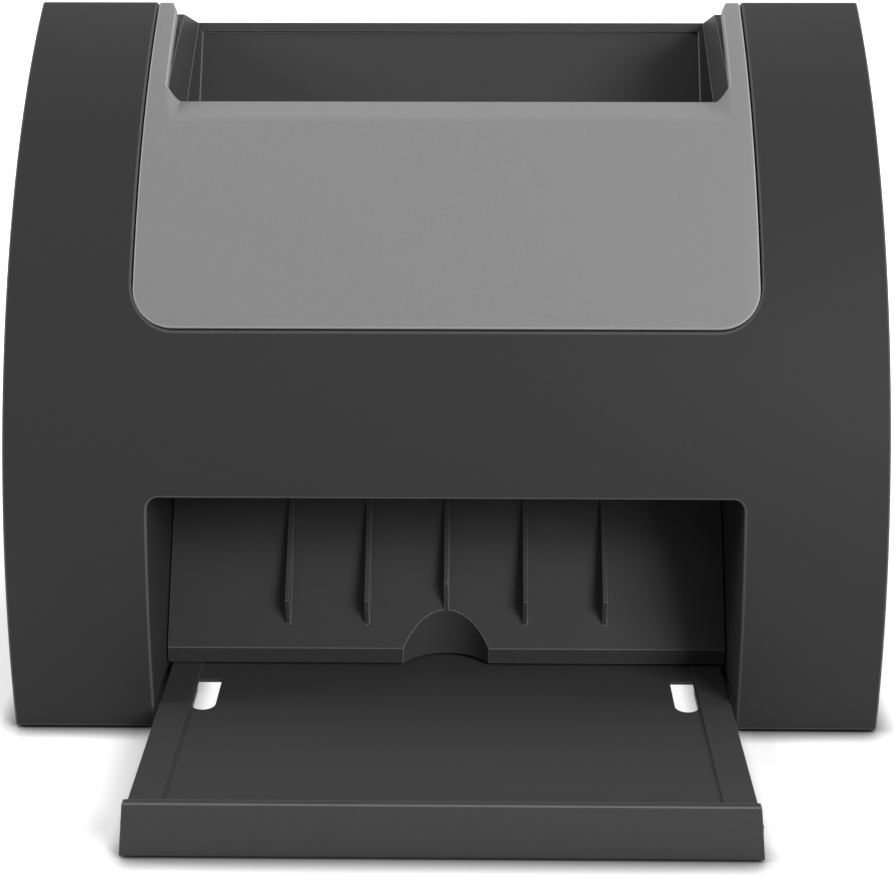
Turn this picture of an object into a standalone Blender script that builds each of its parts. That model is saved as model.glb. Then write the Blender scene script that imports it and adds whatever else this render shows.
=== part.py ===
"""Card scanner: a sheet-fed desktop scanner for cards, built as an assembly of its separate pieces.

Metres, +Z up, front towards -Y. Cards stand in the hopper at the top, lean on its sloped back wall,
run down a straight path between two scanning units and slide down the chute onto the output tray.
Sections are drawn in the body's own plane: Y counts backwards from the body's front bottom edge,
and Z counts up from its underside.
"""

import math

import bmesh
import bpy
from mathutils import Matrix, Vector

# Clearances and tolerances
GAP = 0.0003
OVERRUN = 0.02
WELD = 0.000005

# Body
BODY_WIDTH = 0.168
BODY_DEPTH = 0.108
BODY_HEIGHT = 0.130
HALF_WIDTH = BODY_WIDTH / 2
SHELL_WALL = 0.0025
FRONT_FULLNESS = 0.0131
FRONT_RADIUS = BODY_HEIGHT + FRONT_FULLNESS
FRONT_CENTRE_HEIGHT = 0.0065
FRONT_CENTRE_DEPTH = math.sqrt(FRONT_RADIUS**2 - FRONT_CENTRE_HEIGHT**2)
FRONT_STEPS = 30
TOP_REAR_SETBACK = 0.0095
TOP_REAR_DROP = 0.0085
REAR_SHOULDER_DROP = 0.027
TOP_REAR_DEPTH = BODY_DEPTH - TOP_REAR_SETBACK
TOP_REAR_HEIGHT = BODY_HEIGHT - TOP_REAR_DROP
REAR_SHOULDER_HEIGHT = BODY_HEIGHT - REAR_SHOULDER_DROP
FOOT_STANDING = 0.0005

# Card path: the flat plane that a card slides down, from the hopper's lip to the foot of the chute
PATH_FOOT_DEPTH = 0.0164
PATH_FOOT_HEIGHT = 0.00885
PATH_LIP_SETBACK = 0.01344
PATH_LIP_DROP = 0.00742
PATH_RUN = BODY_DEPTH - PATH_LIP_SETBACK - PATH_FOOT_DEPTH
PATH_RISE = BODY_HEIGHT - PATH_LIP_DROP - PATH_FOOT_HEIGHT
PATH_ANGLE = math.atan2(PATH_RISE, PATH_RUN)
HOPPER_LIP_ALONG = math.hypot(PATH_RUN, PATH_RISE)
PATH_THROAT = 0.0022
GUIDE_THICKNESS = 0.0022

# Stations along the card path, counted up from its foot
EXIT_ALONG = 0.052
EXIT_TO_UNIT = 0.0086
UNIT_REAR_LENGTH = 0.0170
UNIT_FRONT_LAP = 0.0076
UNIT_FRONT_LENGTH = 0.0140
EXIT_TO_FEED = 0.0390
FEED_TO_PICK = 0.0170
FOOT_TO_FEED = 0.0128
UNIT_REAR_LOW = EXIT_ALONG + EXIT_TO_UNIT
UNIT_REAR_HIGH = UNIT_REAR_LOW + UNIT_REAR_LENGTH
UNIT_FRONT_LOW = UNIT_REAR_HIGH - UNIT_FRONT_LAP
UNIT_FRONT_HIGH = UNIT_FRONT_LOW + UNIT_FRONT_LENGTH
FEED_ALONG = EXIT_ALONG + EXIT_TO_FEED
PICK_ALONG = FEED_ALONG + FEED_TO_PICK
HOPPER_FOOT_ALONG = FEED_ALONG - FOOT_TO_FEED

# Output opening and the walls of its recess
CHEEK_WIDTH = 0.0274
OPENING_HALF_WIDTH = HALF_WIDTH - CHEEK_WIDTH
CEILING_BELOW_EXIT = 0.00583
CEILING_ALONG = EXIT_ALONG - CEILING_BELOW_EXIT
CEILING_HEIGHT = PATH_FOOT_HEIGHT + CEILING_ALONG * math.sin(PATH_ANGLE)
CEILING_CLEARANCE = 0.0009
OPENING_HEIGHT = CEILING_HEIGHT - CEILING_CLEARANCE
OPENING_CORNER = 0.0022
RECESS_WALL = 0.0022
RECESS_REAR_OVERLAP = 0.004
RECESS_WALL_PAST_FOOT = 0.0011
RECESS_WALL_REAR = PATH_FOOT_DEPTH + RECESS_WALL_PAST_FOOT

# Front cover and its seam
COVER_OVERHANG = 0.0030
COVER_ARM_WIDTH = 0.0042
COVER_HALF_WIDTH = OPENING_HALF_WIDTH + COVER_OVERHANG
COVER_NOTCH_HALF_WIDTH = COVER_HALF_WIDTH - COVER_ARM_WIDTH
COVER_ABOVE_OPENING = 0.0299
COVER_BOTTOM = OPENING_HEIGHT + COVER_ABOVE_OPENING
COVER_CORNER = 0.0078
COVER_SEAM = 0.0005
COVER_ROLL_DROP = 0.020
COVER_ROLL_START = BODY_HEIGHT - COVER_ROLL_DROP
COVER_ROLL_RADIUS = 0.0107
COVER_ROLL_END = math.radians(30)
COVER_ROLL_STEPS = 10
COVER_TOP_BACK = 0.0008

# Hinge of the front cover
HINGE_DEPTH = 0.020
HINGE_ABOVE_OPENING = 0.0080
HINGE_HEIGHT = OPENING_HEIGHT + HINGE_ABOVE_OPENING
HINGE_PIN_RADIUS = 0.0015
HINGE_BOSS_RADIUS = 0.0036
COVER_OPEN_CLEAR = math.radians(34)

# Exit guide, the ceiling of the recess
CEILING_SETBACK = 0.00335
CEILING_REAR = PATH_FOOT_DEPTH + CEILING_ALONG * math.cos(PATH_ANGLE) - CEILING_SETBACK
EXIT_GUIDE_OVERLAP = 0.0006
EXIT_GUIDE_HALF_WIDTH = OPENING_HALF_WIDTH + EXIT_GUIDE_OVERLAP
EXIT_GUIDE_SIDE = 0.0020
EXIT_GUIDE_ABOVE_EXIT = 0.0090
EXIT_GUIDE_BELOW_EXIT = 0.0060
EXIT_GUIDE_LOW = EXIT_ALONG - EXIT_GUIDE_BELOW_EXIT
EXIT_GUIDE_HIGH = EXIT_ALONG + EXIT_GUIDE_ABOVE_EXIT
EXIT_GUIDE_FLANGE_RISE = 0.0111
EXIT_GUIDE_FLANGE_TOP = CEILING_HEIGHT + EXIT_GUIDE_FLANGE_RISE
EXIT_GUIDE_EAR_DEPTH = 0.030

# Frame behind the front cover
COVER_FRAME_PLAY = 0.0004
COVER_FRAME_HALF_WIDTH = EXIT_GUIDE_HALF_WIDTH - EXIT_GUIDE_SIDE - COVER_FRAME_PLAY
COVER_FRAME_SIDE = 0.0022
COVER_FRAME_STEP = 0.0030
COVER_FRAME_BELOW_LIP = 0.0230
COVER_FRAME_LOW = EXIT_GUIDE_HIGH + COVER_FRAME_STEP
COVER_FRAME_HIGH = HOPPER_LIP_ALONG - COVER_FRAME_BELOW_LIP
COVER_FRAME_TOP_DROP = 0.030
COVER_FRAME_TOP = BODY_HEIGHT - COVER_FRAME_TOP_DROP
COVER_ARM_REACH = 0.0248
COVER_ARM_THROAT = 0.012
COVER_ARM_SPREAD = math.radians(13)
COVER_FLOOR_RISE = 0.0027
COVER_FLOOR_THICKNESS = 0.0035

# Hopper
HOPPER_STEP = 0.0001
HOPPER_HALF_WIDTH_TOP = COVER_NOTCH_HALF_WIDTH + HOPPER_STEP
HOPPER_FLARE_PER_HEIGHT_SHARE = 0.118
HOPPER_PLAY = 0.0007
HOPPER_OUTER_HALF_WIDTH = COVER_HALF_WIDTH + COVER_SEAM - HOPPER_PLAY
HOPPER_WALL_DEPTH = 0.029
HOPPER_WALL_FOOT_HEIGHT = BODY_HEIGHT - HOPPER_WALL_DEPTH
HOPPER_RIM_DROP = 0.0027
CHANNEL_MARGIN = 0.0010
CHANNEL_HALF_WIDTH = HOPPER_HALF_WIDTH_TOP - CHANNEL_MARGIN
CHANNEL_DEPTH = 0.0005
CHANNEL_BELOW_LIP = 0.00206

# Exit chute
CHUTE_ABOVE_EXIT = 0.0080
CHUTE_TOP_ALONG = EXIT_ALONG + CHUTE_ABOVE_EXIT
CHUTE_BOTTOM = 0.0056
CHUTE_FLOOR_THICKNESS = 0.0018
CHUTE_WEDGE_DEPTH = 0.0081
CHUTE_FLOOR_SETBACK = 0.020
CHUTE_FLOOR_REAR = BODY_DEPTH - CHUTE_FLOOR_SETBACK
RIB_COUNT = 5
RIB_SPACING = 0.016
RIB_THICKNESS = 0.0009
RIB_HEIGHT = 0.0038
RIB_LOW_ALONG = 0.0049
RIB_KINK_ALONG = 0.0090
RIB_BELOW_EXIT = 0.0160
RIB_TOP_ALONG = EXIT_ALONG - RIB_BELOW_EXIT
NOTCH_RADIUS = 0.0105
NOTCH_DEPTH = 0.0045
NOTCH_STEPS = 40

# Output tray
TRAY_REACH = 0.0445
TRAY_REAR = 0.040
TRAY_PLAY = 0.00105
TRAY_HALF_WIDTH = OPENING_HALF_WIDTH - TRAY_PLAY
TRAY_SHOULDER = 0.0027
TRAY_SHOULDER_HALF_WIDTH = OPENING_HALF_WIDTH + TRAY_SHOULDER
TRAY_SURFACE = 0.0052
TRAY_THICKNESS = 0.0020
TRAY_CORNER = 0.0020
TRAY_RAIL_WIDTH = 0.00615
TRAY_FLOOR_HALF_WIDTH = TRAY_HALF_WIDTH - TRAY_RAIL_WIDTH
TRAY_FLOOR_DROP = 0.00035
TRAY_TRAVEL = TRAY_REACH - GAP
LIP_HEIGHT = 0.0105
LIP_THICKNESS = 0.0016
LIP_OVERHANG = 0.0001
LIP_DRAFT = 0.00115
LIP_HALF_WIDTH_BOTTOM = TRAY_HALF_WIDTH + LIP_OVERHANG
LIP_HALF_WIDTH_TOP = LIP_HALF_WIDTH_BOTTOM - LIP_DRAFT
SLOT_INSET = 0.00243
SLOT_CENTRE = TRAY_FLOOR_HALF_WIDTH - SLOT_INSET
SLOT_RADIUS = 0.00227
SLOT_REAR = 0.0104
SLOT_SKIN = 0.0006
SLOT_RELIEF_MARGIN = 0.0008
SLOT_RELIEF_LENGTH = 0.006
SLOT_FRONT = -0.0017
SLOT_STEPS = 10

# Base plate, its stop rib and the rear cover
BASE_THICKNESS = 0.0024
BASE_PAST_RECESS = 0.0005
BASE_REAR_OF_RECESS = RECESS_WALL_REAR + BASE_PAST_RECESS
STOP_RIB_HALF_WIDTH = TRAY_FLOOR_HALF_WIDTH
STOP_RIB_THICKNESS = 0.002
STOP_GAP = 0.0008
REAR_COVER_MARGIN = 0.0045
REAR_COVER_DROP = 0.0053
REAR_COVER_HALF_WIDTH = HALF_WIDTH - REAR_COVER_MARGIN
REAR_COVER_BOTTOM = 0.0043
REAR_COVER_TOP = REAR_SHOULDER_HEIGHT - REAR_COVER_DROP
VENT_COUNT = 9
VENT_SPACING = 0.005
VENT_LENGTH = 0.040
VENT_HEIGHT = 0.0018
VENT_DROP = 0.0517
VENT_LOWEST = REAR_COVER_TOP - VENT_DROP
VENT_CENTRE = -0.030

# Side frames
FRAME_OUTSTAND = 0.0054
FRAME_INNER = OPENING_HALF_WIDTH + FRAME_OUTSTAND
FRAME_THICKNESS = 0.0012
FRAME_OUTER = FRAME_INNER + FRAME_THICKNESS
FRAME_FRONT = 0.030
FRAME_REAR_GAP = 0.0050
FRAME_REAR = BODY_DEPTH - FRAME_REAR_GAP
FRAME_MARGIN = 0.009
FRAME_TOP_DROP = 0.020
FRAME_TOP_SETBACK = 0.0115
FRAME_TOP = BODY_HEIGHT - FRAME_TOP_DROP
FRAME_TOP_DEPTH = BODY_DEPTH - FRAME_TOP_SETBACK
STANDOFF_RADIUS = 0.0025

# Scanning units
UNIT_END_GAP = 0.0040
UNIT_REAR_HALF_WIDTH = FRAME_INNER - UNIT_END_GAP
UNIT_FRONT_PLAY = 0.0004
UNIT_FRONT_HALF_WIDTH = COVER_FRAME_HALF_WIDTH - COVER_FRAME_SIDE - UNIT_FRONT_PLAY
UNIT_DEPTH = 0.0116
GLASS_THICKNESS = 0.0010
GLASS_MARGIN = 0.0012
GLASS_BELOW_PATH = 0.0001
GLASS_ABOVE_THROAT = 0.0004

# Planes of the gears, outwards from the left frame
GEAR_FRAME_GAP = 0.0020
GEAR_WIDTH = 0.0048
GEAR_PLANE_GAP = 0.0010
PINION_WIDTH = 0.0040
GEAR_PLANE_INNER = FRAME_OUTER + GEAR_FRAME_GAP
GEAR_PLANE_OUTER = GEAR_PLANE_INNER + GEAR_WIDTH
REDUCTION_PLANE_INNER = GEAR_PLANE_OUTER + GEAR_PLANE_GAP
REDUCTION_PLANE_OUTER = REDUCTION_PLANE_INNER + PINION_WIDTH

# Rollers
SHAFT_RADIUS = 0.003
SHAFT_PAST_GEAR = 0.0002
SHAFT_PAST_FRAME = 0.0010
SHAFT_LEFT_END = GEAR_PLANE_OUTER + SHAFT_PAST_GEAR
SHAFT_RIGHT_END = FRAME_OUTER + SHAFT_PAST_FRAME
TYRE_CENTRE = 0.025
TYRE_WIDTH = 0.016
FEED_TYRE_RADIUS = 0.0065
PICK_TYRE_RADIUS = 0.008
PICK_TYRE_WIDTH = 0.018
FEED_TYRE_PROUD = 0.0003
PICK_TYRE_PROUD = 0.0004
TYRE_WINDOW_MARGIN = 0.0012
PINCH_RADIUS = 0.0045
PINCH_SHAFT_RADIUS = 0.002
PINCH_DRUM_WIDTH = 0.014
PINCH_NIP = 0.0006
ROLLER_STEPS = 28

# Bushes that carry the driven shafts
BUSH_RADIUS = 0.0044
BUSH_FLANGE_RADIUS = 0.0058
BUSH_FLANGE = 0.0010
BUSH_OUTSTAND = 0.0008

# Gear train
GEAR_MODULE = 0.0008
GEAR_PRESSURE_ANGLE = math.radians(20)
GEAR_ADDENDUM_SHARE = 0.9
GEAR_DEDENDUM_SHARE = 1.2
GEAR_BACKLASH = 0.00024
GEAR_SPREAD = 0.0001
FEED_GEAR_TEETH = 16
EXIT_GEAR_TEETH = 16
PICK_GEAR_TEETH = 20
PICK_IDLER_TEETH = 18
DRIVE_IDLER_TEETH = 33
REDUCTION_SMALL_TEETH = 16
REDUCTION_LARGE_TEETH = 40
PINION_TEETH = 14
REDUCTION_BEARING = math.radians(-51)
GEAR_PIN_RADIUS = 0.0017
GEAR_PIN_HEAD_RADIUS = 0.0032
GEAR_PIN_HEAD = 0.0010

# Motor
MOTOR_RADIUS = 0.0175
MOTOR_FROM_REAR = 0.0211
MOTOR_ABOVE_BASE = 0.0282
MOTOR_LENGTH = 0.0207
MOTOR_BOSS_RADIUS = 0.005
MOTOR_SHAFT_RADIUS = 0.0015
MOTOR_SHAFT_SEAT = 0.0085

# Separation pad and its holder on the cover
PAD_HALF_WIDTH = 0.0085
PAD_HALF_LENGTH = 0.0045
PAD_FACE = 0.00075
PAD_THICKNESS = 0.0015
PAD_HOLDER_THICKNESS = 0.0016
PAD_SPRING_THICKNESS = 0.0004
PAD_SPRING_RISE = 0.0050
PAD_WINDOW_MARGIN = 0.0010

# Main board and its sockets
BOARD_STANDOFF = 0.0024
BOARD_INNER = FRAME_OUTER + BOARD_STANDOFF
BOARD_THICKNESS = 0.0016
BOARD_FRONT = 0.022
BOARD_REAR_GAP = 0.0040
BOARD_REAR = BODY_DEPTH - BOARD_REAR_GAP
BOARD_BOTTOM = 0.014
BOARD_TOP = 0.074
BOARD_HOLE_INSET = 0.006
BOARD_HOLE_SETBACK = 0.024
USB_WIDTH = 0.011
USB_HEIGHT = 0.012
USB_BOTTOM = 0.018
USB_LENGTH = 0.0165
USB_FRONT = BODY_DEPTH - USB_LENGTH
USB_WALL = 0.0017
USB_CAVITY_DEPTH = 0.0125
POWER_CAVITY_DEPTH = 0.010
POWER_WIDTH = 0.009
POWER_HEIGHT = 0.011
POWER_BOTTOM = 0.038
POWER_LENGTH = 0.0135
POWER_FRONT = BODY_DEPTH - POWER_LENGTH
POWER_BORE_RADIUS = 0.0033
SOCKET_RECESS = 0.0003

# Feet, screws and the posts that the screws enter
FOOT_RADIUS = 0.005
FOOT_THICKNESS = 0.0014
FOOT_INSET = 0.012
FOOT_SIDE = HALF_WIDTH - FOOT_INSET
FOOT_FRONT = 0.011
FOOT_REAR = BODY_DEPTH - FOOT_INSET
SCREW_INSET = 0.009
SCREW_SIDE = HALF_WIDTH - SCREW_INSET
SCREW_FRONT = 0.024
SCREW_REAR_INSET = 0.026
SCREW_REAR = BODY_DEPTH - SCREW_REAR_INSET
SCREW_RADIUS = 0.0014
SCREW_HEAD_RADIUS = 0.0027
SCREW_HEAD = 0.0014
SCREW_RECESS = 0.0006
SCREW_LENGTH = 0.0085
POST_HALF_DEPTH = 0.004
POST_WIDTH = 0.0135
POST_INNER = HALF_WIDTH - POST_WIDTH
POST_TOP = 0.0130
ROUND_STEPS = 20
SMALL_STEPS = 12
SHARP_ANGLE = math.radians(30)

FRONT_PLACE = (TRAY_REACH - BODY_DEPTH) / 2

# A section is drawn in local X and Y, and one of these turns it to run along the named axis
RUNS_ALONG = {
    "X": Matrix(((0, 0, 1, 0), (1, 0, 0, 0), (0, 1, 0, 0), (0, 0, 0, 1))),
    "Y": Matrix(((1, 0, 0, 0), (0, 0, -1, 0), (0, 1, 0, 0), (0, 0, 0, 1))),
    "Z": Matrix.Identity(4),
}
SIDE_TO_SIDE = Matrix(((0, 0, 1, 0), (0, 1, 0, 0), (-1, 0, 0, 0), (0, 0, 0, 1)))
UPRIGHT = Matrix.Identity(4)


# Scene and materials

def clear_scene():
    for item in list(bpy.data.objects):
        bpy.data.objects.remove(item, do_unlink=True)


def new_collection(name):
    group = bpy.data.collections.new(name)
    bpy.context.scene.collection.children.link(group)
    return group


def new_material(name, red, green, blue, roughness, metallic=0.0, alpha=1.0):
    material = bpy.data.materials.new(name)
    material.use_nodes = True
    shader = material.node_tree.nodes["Principled BSDF"]
    shader.inputs["Base Color"].default_value = (red, green, blue, 1.0)
    shader.inputs["Roughness"].default_value = roughness
    shader.inputs["Metallic"].default_value = metallic
    shader.inputs["Alpha"].default_value = alpha
    return material


clear_scene()
PARTS = new_collection("card_scanner")
CUTTERS = new_collection("cutters")
CUTTERS.hide_render = True

BLACK_ABS = new_material("black_abs", 0.045, 0.045, 0.045, 0.55)
GREY_ABS = new_material("grey_abs", 0.26, 0.26, 0.26, 0.5)
DARK_ABS = new_material("dark_abs", 0.030, 0.030, 0.030, 0.6)
ZINC_STEEL = new_material("zinc_steel", 0.55, 0.56, 0.57, 0.35, 1.0)
BRIGHT_STEEL = new_material("bright_steel", 0.62, 0.62, 0.63, 0.2, 1.0)
SPRING_STEEL = new_material("spring_steel", 0.45, 0.46, 0.48, 0.3, 1.0)
BRONZE = new_material("sintered_bronze", 0.45, 0.28, 0.12, 0.45, 1.0)
ACETAL = new_material("white_acetal", 0.78, 0.77, 0.73, 0.4)
TYRE_RUBBER = new_material("tyre_rubber", 0.10, 0.10, 0.11, 0.8)
FOOT_RUBBER = new_material("foot_rubber", 0.02, 0.02, 0.02, 0.9)
PAD_CORK = new_material("pad_rubber", 0.30, 0.12, 0.07, 0.85)
GLASS = new_material("window_glass", 0.85, 0.92, 0.90, 0.05, 0.0, 0.35)
BOARD_GREEN = new_material("board_laminate", 0.02, 0.14, 0.06, 0.4)
SOCKET_METAL = new_material("tinned_steel", 0.65, 0.65, 0.66, 0.3, 1.0)
SOCKET_PLASTIC = new_material("socket_nylon", 0.015, 0.015, 0.015, 0.5)


def new_pivot(name, depth=0.0, height=0.0, parent=None):
    """An empty on a joint's axis, which the pieces of that body hang from."""
    pivot = bpy.data.objects.new(name, None)
    pivot.empty_display_size = SHELL_WALL
    pivot.location = (0.0, depth, height)
    pivot.parent = parent
    PARTS.objects.link(pivot)
    return pivot


SCANNER = new_pivot("scanner_frame")
SCANNER.location = (0.0, FRONT_PLACE, FOOT_STANDING)


# Points and outlines

def on_path(along, out=0.0):
    """A place in the section: along the card path from its foot, and out of it towards the front."""
    depth = PATH_FOOT_DEPTH + along * math.cos(PATH_ANGLE) - out * math.sin(PATH_ANGLE)
    height = PATH_FOOT_HEIGHT + along * math.sin(PATH_ANGLE) + out * math.cos(PATH_ANGLE)
    return (depth, height)


def arc(centre, radius, start, end, steps):
    points = []
    for step in range(steps + 1):
        angle = start + (end - start) * step / steps
        points.append((centre[0] + radius * math.cos(angle), centre[1] + radius * math.sin(angle)))
    return points


def circle(centre, radius, steps=ROUND_STEPS):
    return arc(centre, radius, 0.0, math.tau * (steps - 1) / steps, steps - 1)


def front_skin(inset, low, high, steps=FRONT_STEPS):
    """The curved front, moved in by inset, from one height to another."""
    centre = (FRONT_CENTRE_DEPTH, FRONT_CENTRE_HEIGHT)
    radius = FRONT_RADIUS - inset
    start = math.pi - math.asin((low - FRONT_CENTRE_HEIGHT) / radius)
    end = math.pi - math.asin((high - FRONT_CENTRE_HEIGHT) / radius)
    return arc(centre, radius, start, end, steps)


def inset_outline(points, inset):
    """A clockwise outline moved inwards by the same distance all round."""
    moved = []
    for index, point in enumerate(points):
        here = Vector(point)
        before = (here - Vector(points[index - 1])).normalized()
        after = (Vector(points[(index + 1) % len(points)]) - here).normalized()
        normal_before = Vector((before.y, -before.x))
        normal_after = Vector((after.y, -after.x))
        step = (normal_before + normal_after) / (1.0 + normal_before.dot(normal_after))
        moved.append(tuple(here + inset * step))
    return moved


def rectangle(left, right, low, high):
    return [(left, low), (right, low), (right, high), (left, high)]


def rounded_foot(half_width, low, high, corner, steps):
    """A rectangle about the middle whose two lower corners are round."""
    side = half_width - corner
    left = arc((-side, low + corner), corner, math.pi, math.pi * 1.5, steps)
    right = arc((side, low + corner), corner, math.pi * 1.5, math.tau, steps)
    return [(-half_width, high)] + left + right + [(half_width, high)]


# Solids

def place(piece, material, body, is_cutter):
    """Hangs a piece on its body's pivot without moving it, or files it as a cutter."""
    piece.parent = body
    if body is not SCANNER:
        piece.matrix_parent_inverse = Matrix.Translation(body.location).inverted()
    if is_cutter:
        CUTTERS.objects.link(piece)
        piece.hide_render = True
        piece.display_type = "WIRE"
    else:
        PARTS.objects.link(piece)
        piece.data.materials.append(material)


def prism(name, outlines, start, end, material=None, body=None, along="X"):
    """A solid of constant section: closed outlines, the inner ones holes, run along one axis."""
    curve = bpy.data.curves.new(name, "CURVE")
    curve.dimensions = "2D"
    curve.fill_mode = "BOTH"
    curve.extrude = (end - start) / 2
    for outline in outlines:
        spline = curve.splines.new("POLY")
        spline.points.add(len(outline) - 1)
        for point, (across, up) in zip(spline.points, outline):
            point.co = (across, up, 0.0, 1.0)
        spline.use_cyclic_u = True
    flat = bpy.data.objects.new(name + "_outline", curve)
    bpy.context.scene.collection.objects.link(flat)
    depsgraph = bpy.context.evaluated_depsgraph_get()
    mesh = bpy.data.meshes.new_from_object(flat.evaluated_get(depsgraph))
    bpy.data.objects.remove(flat)
    mesh.name = name
    turn = RUNS_ALONG[along]
    middle = (start + end) / 2
    shift = Vector([middle if letter == along else 0.0 for letter in "XYZ"])
    welded = bmesh.new()
    welded.from_mesh(mesh)
    bmesh.ops.remove_doubles(welded, verts=welded.verts, dist=WELD)
    bmesh.ops.transform(welded, matrix=Matrix.Translation(shift) @ turn, verts=welded.verts)
    bmesh.ops.recalc_face_normals(welded, faces=welded.faces)
    welded.to_mesh(mesh)
    welded.free()
    mesh.materials.clear()
    piece = bpy.data.objects.new(name, mesh)
    place(piece, material, body or SCANNER, material is None)
    return piece


def turned(name, profile, centre, material=None, body=None, turn=SIDE_TO_SIDE, hollow=False,
           steps=ROUND_STEPS):
    """A turned solid: (place along the axis, radius) pairs, from the far end down the outer side."""
    mesh = bpy.data.meshes.new(name)
    points = [(radius, 0.0, along) for along, radius in profile]
    edges = [(index, index + 1) for index in range(len(points) - 1)]
    if hollow:
        edges.append((len(points) - 1, 0))
    mesh.from_pydata(points, edges, [])
    piece = bpy.data.objects.new(name, mesh)
    screw = piece.modifiers.new("turn", "SCREW")
    screw.axis = "Z"
    screw.steps = steps
    screw.render_steps = steps
    screw.use_merge_vertices = True
    screw.merge_threshold = WELD
    piece.matrix_basis = Matrix.Translation(centre) @ turn
    place(piece, material, body or SCANNER, material is None)
    return piece


def combine(target, operation, tools):
    for tool in tools:
        change = target.modifiers.new(operation.lower() + "_" + tool.name, "BOOLEAN")
        change.operation = operation
        change.object = tool
    return target


def cut(target, *tools):
    return combine(target, "DIFFERENCE", tools)


def join(target, *tools):
    return combine(target, "UNION", tools)


def keep_inside(target, *tools):
    return combine(target, "INTERSECT", tools)


def path_block(name, low, high, inner, outer, left, right, material=None, body=None):
    """A block square to the card path."""
    corners = [on_path(low, inner), on_path(high, inner), on_path(high, outer), on_path(low, outer)]
    return prism(name, [corners], left, right, material, body)


def both_sides(inner, outer):
    """The left and right spans of a pair that mirrors about the middle."""
    return {"left": (-outer, -inner), "right": (inner, outer)}


# Places of the rollers and gears, as (depth, height)

def on_bearing(centre, distance, bearing):
    return (centre[0] + distance * math.cos(bearing), centre[1] + distance * math.sin(bearing))


def towards(centre, distance, target):
    """The place at a given distance from a centre, in the direction of a target."""
    line = (Vector(target) - Vector(centre)).normalized()
    return tuple(Vector(centre) + distance * line)


def mesh_distance(teeth, other_teeth):
    return (teeth + other_teeth) * GEAR_MODULE / 2 + GEAR_SPREAD


def between(first, first_distance, second, second_distance):
    """The place behind two centres that lies at a given distance from each."""
    line = Vector(second) - Vector(first)
    base = line.length
    forward = (first_distance**2 - second_distance**2 + base**2) / (2 * base)
    aside = math.sqrt(first_distance**2 - forward**2)
    line.normalize()
    return tuple(Vector(first) + forward * line + aside * Vector((line.y, -line.x)))


EXIT_AXIS = on_path(EXIT_ALONG, FEED_TYRE_PROUD - FEED_TYRE_RADIUS)
FEED_AXIS = on_path(FEED_ALONG, FEED_TYRE_PROUD - FEED_TYRE_RADIUS)
PICK_AXIS = on_path(PICK_ALONG, PICK_TYRE_PROUD - PICK_TYRE_RADIUS)
EXIT_PINCH_AXIS = on_path(EXIT_ALONG, PINCH_NIP + PINCH_RADIUS)
FEED_PINCH_AXIS = on_path(FEED_ALONG, PINCH_NIP + PINCH_RADIUS)
DRIVE_IDLER_AXIS = between(
    EXIT_AXIS, mesh_distance(EXIT_GEAR_TEETH, DRIVE_IDLER_TEETH),
    FEED_AXIS, mesh_distance(FEED_GEAR_TEETH, DRIVE_IDLER_TEETH),
)
PICK_IDLER_AXIS = between(
    FEED_AXIS, mesh_distance(FEED_GEAR_TEETH, PICK_IDLER_TEETH),
    PICK_AXIS, mesh_distance(PICK_GEAR_TEETH, PICK_IDLER_TEETH),
)
REDUCTION_AXIS = on_bearing(
    DRIVE_IDLER_AXIS, mesh_distance(DRIVE_IDLER_TEETH, REDUCTION_SMALL_TEETH), REDUCTION_BEARING
)
MOTOR_AXIS = towards(
    REDUCTION_AXIS, mesh_distance(REDUCTION_LARGE_TEETH, PINION_TEETH),
    (BODY_DEPTH - MOTOR_FROM_REAR, MOTOR_ABOVE_BASE),
)
HINGE_AXIS = (HINGE_DEPTH, HINGE_HEIGHT)

COVER = new_pivot("cover_pivot", *HINGE_AXIS, parent=SCANNER)
TRAY = new_pivot("tray_pivot", parent=SCANNER)
PICK = new_pivot("pick_pivot", *PICK_AXIS, parent=SCANNER)
FEED = new_pivot("feed_pivot", *FEED_AXIS, parent=SCANNER)
EXIT = new_pivot("exit_pivot", *EXIT_AXIS, parent=SCANNER)
EXIT_PINCH = new_pivot("exit_pinch_pivot", *EXIT_PINCH_AXIS, parent=SCANNER)
FEED_PINCH = new_pivot("feed_pinch_pivot", *FEED_PINCH_AXIS, parent=SCANNER)
DRIVE_IDLER = new_pivot("drive_idler_pivot", *DRIVE_IDLER_AXIS, parent=SCANNER)
PICK_IDLER = new_pivot("pick_idler_pivot", *PICK_IDLER_AXIS, parent=SCANNER)
REDUCTION = new_pivot("reduction_pivot", *REDUCTION_AXIS, parent=SCANNER)
ROTOR = new_pivot("rotor_pivot", *MOTOR_AXIS, parent=SCANNER)


# Body shell

def body_outline():
    front = front_skin(0.0, 0.0, BODY_HEIGHT)
    rear = [(TOP_REAR_DEPTH, TOP_REAR_HEIGHT), (BODY_DEPTH, REAR_SHOULDER_HEIGHT), (BODY_DEPTH, 0.0)]
    return front + rear


def cavity_outline():
    """The inside of the shell, run out through its open underside."""
    inner = inset_outline(body_outline(), SHELL_WALL)
    front_foot = (inner[0][0], -OVERRUN)
    rear_foot = (inner[-1][0], -OVERRUN)
    return [front_foot] + inner[1:-1] + [rear_foot]


def recess_wall_outline():
    """Side wall of the recess: from inside the front skin back past the chute."""
    front = front_skin(SHELL_WALL / 2, 0.0, CEILING_HEIGHT - GAP)
    top_along = (CEILING_HEIGHT - GAP - PATH_FOOT_HEIGHT) / math.sin(PATH_ANGLE)
    top_rear = on_path(top_along, 0.0)
    rear_step = (RECESS_WALL_REAR - PATH_FOOT_DEPTH) / math.cos(PATH_ANGLE)
    low_rear = on_path(rear_step, 0.0)
    rear = [
        (top_rear[0] + RECESS_REAR_OVERLAP, top_rear[1]),
        (low_rear[0] + RECESS_REAR_OVERLAP, low_rear[1]),
        (RECESS_WALL_REAR, CHUTE_BOTTOM),
        (RECESS_WALL_REAR, 0.0),
    ]
    return front + rear


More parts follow.
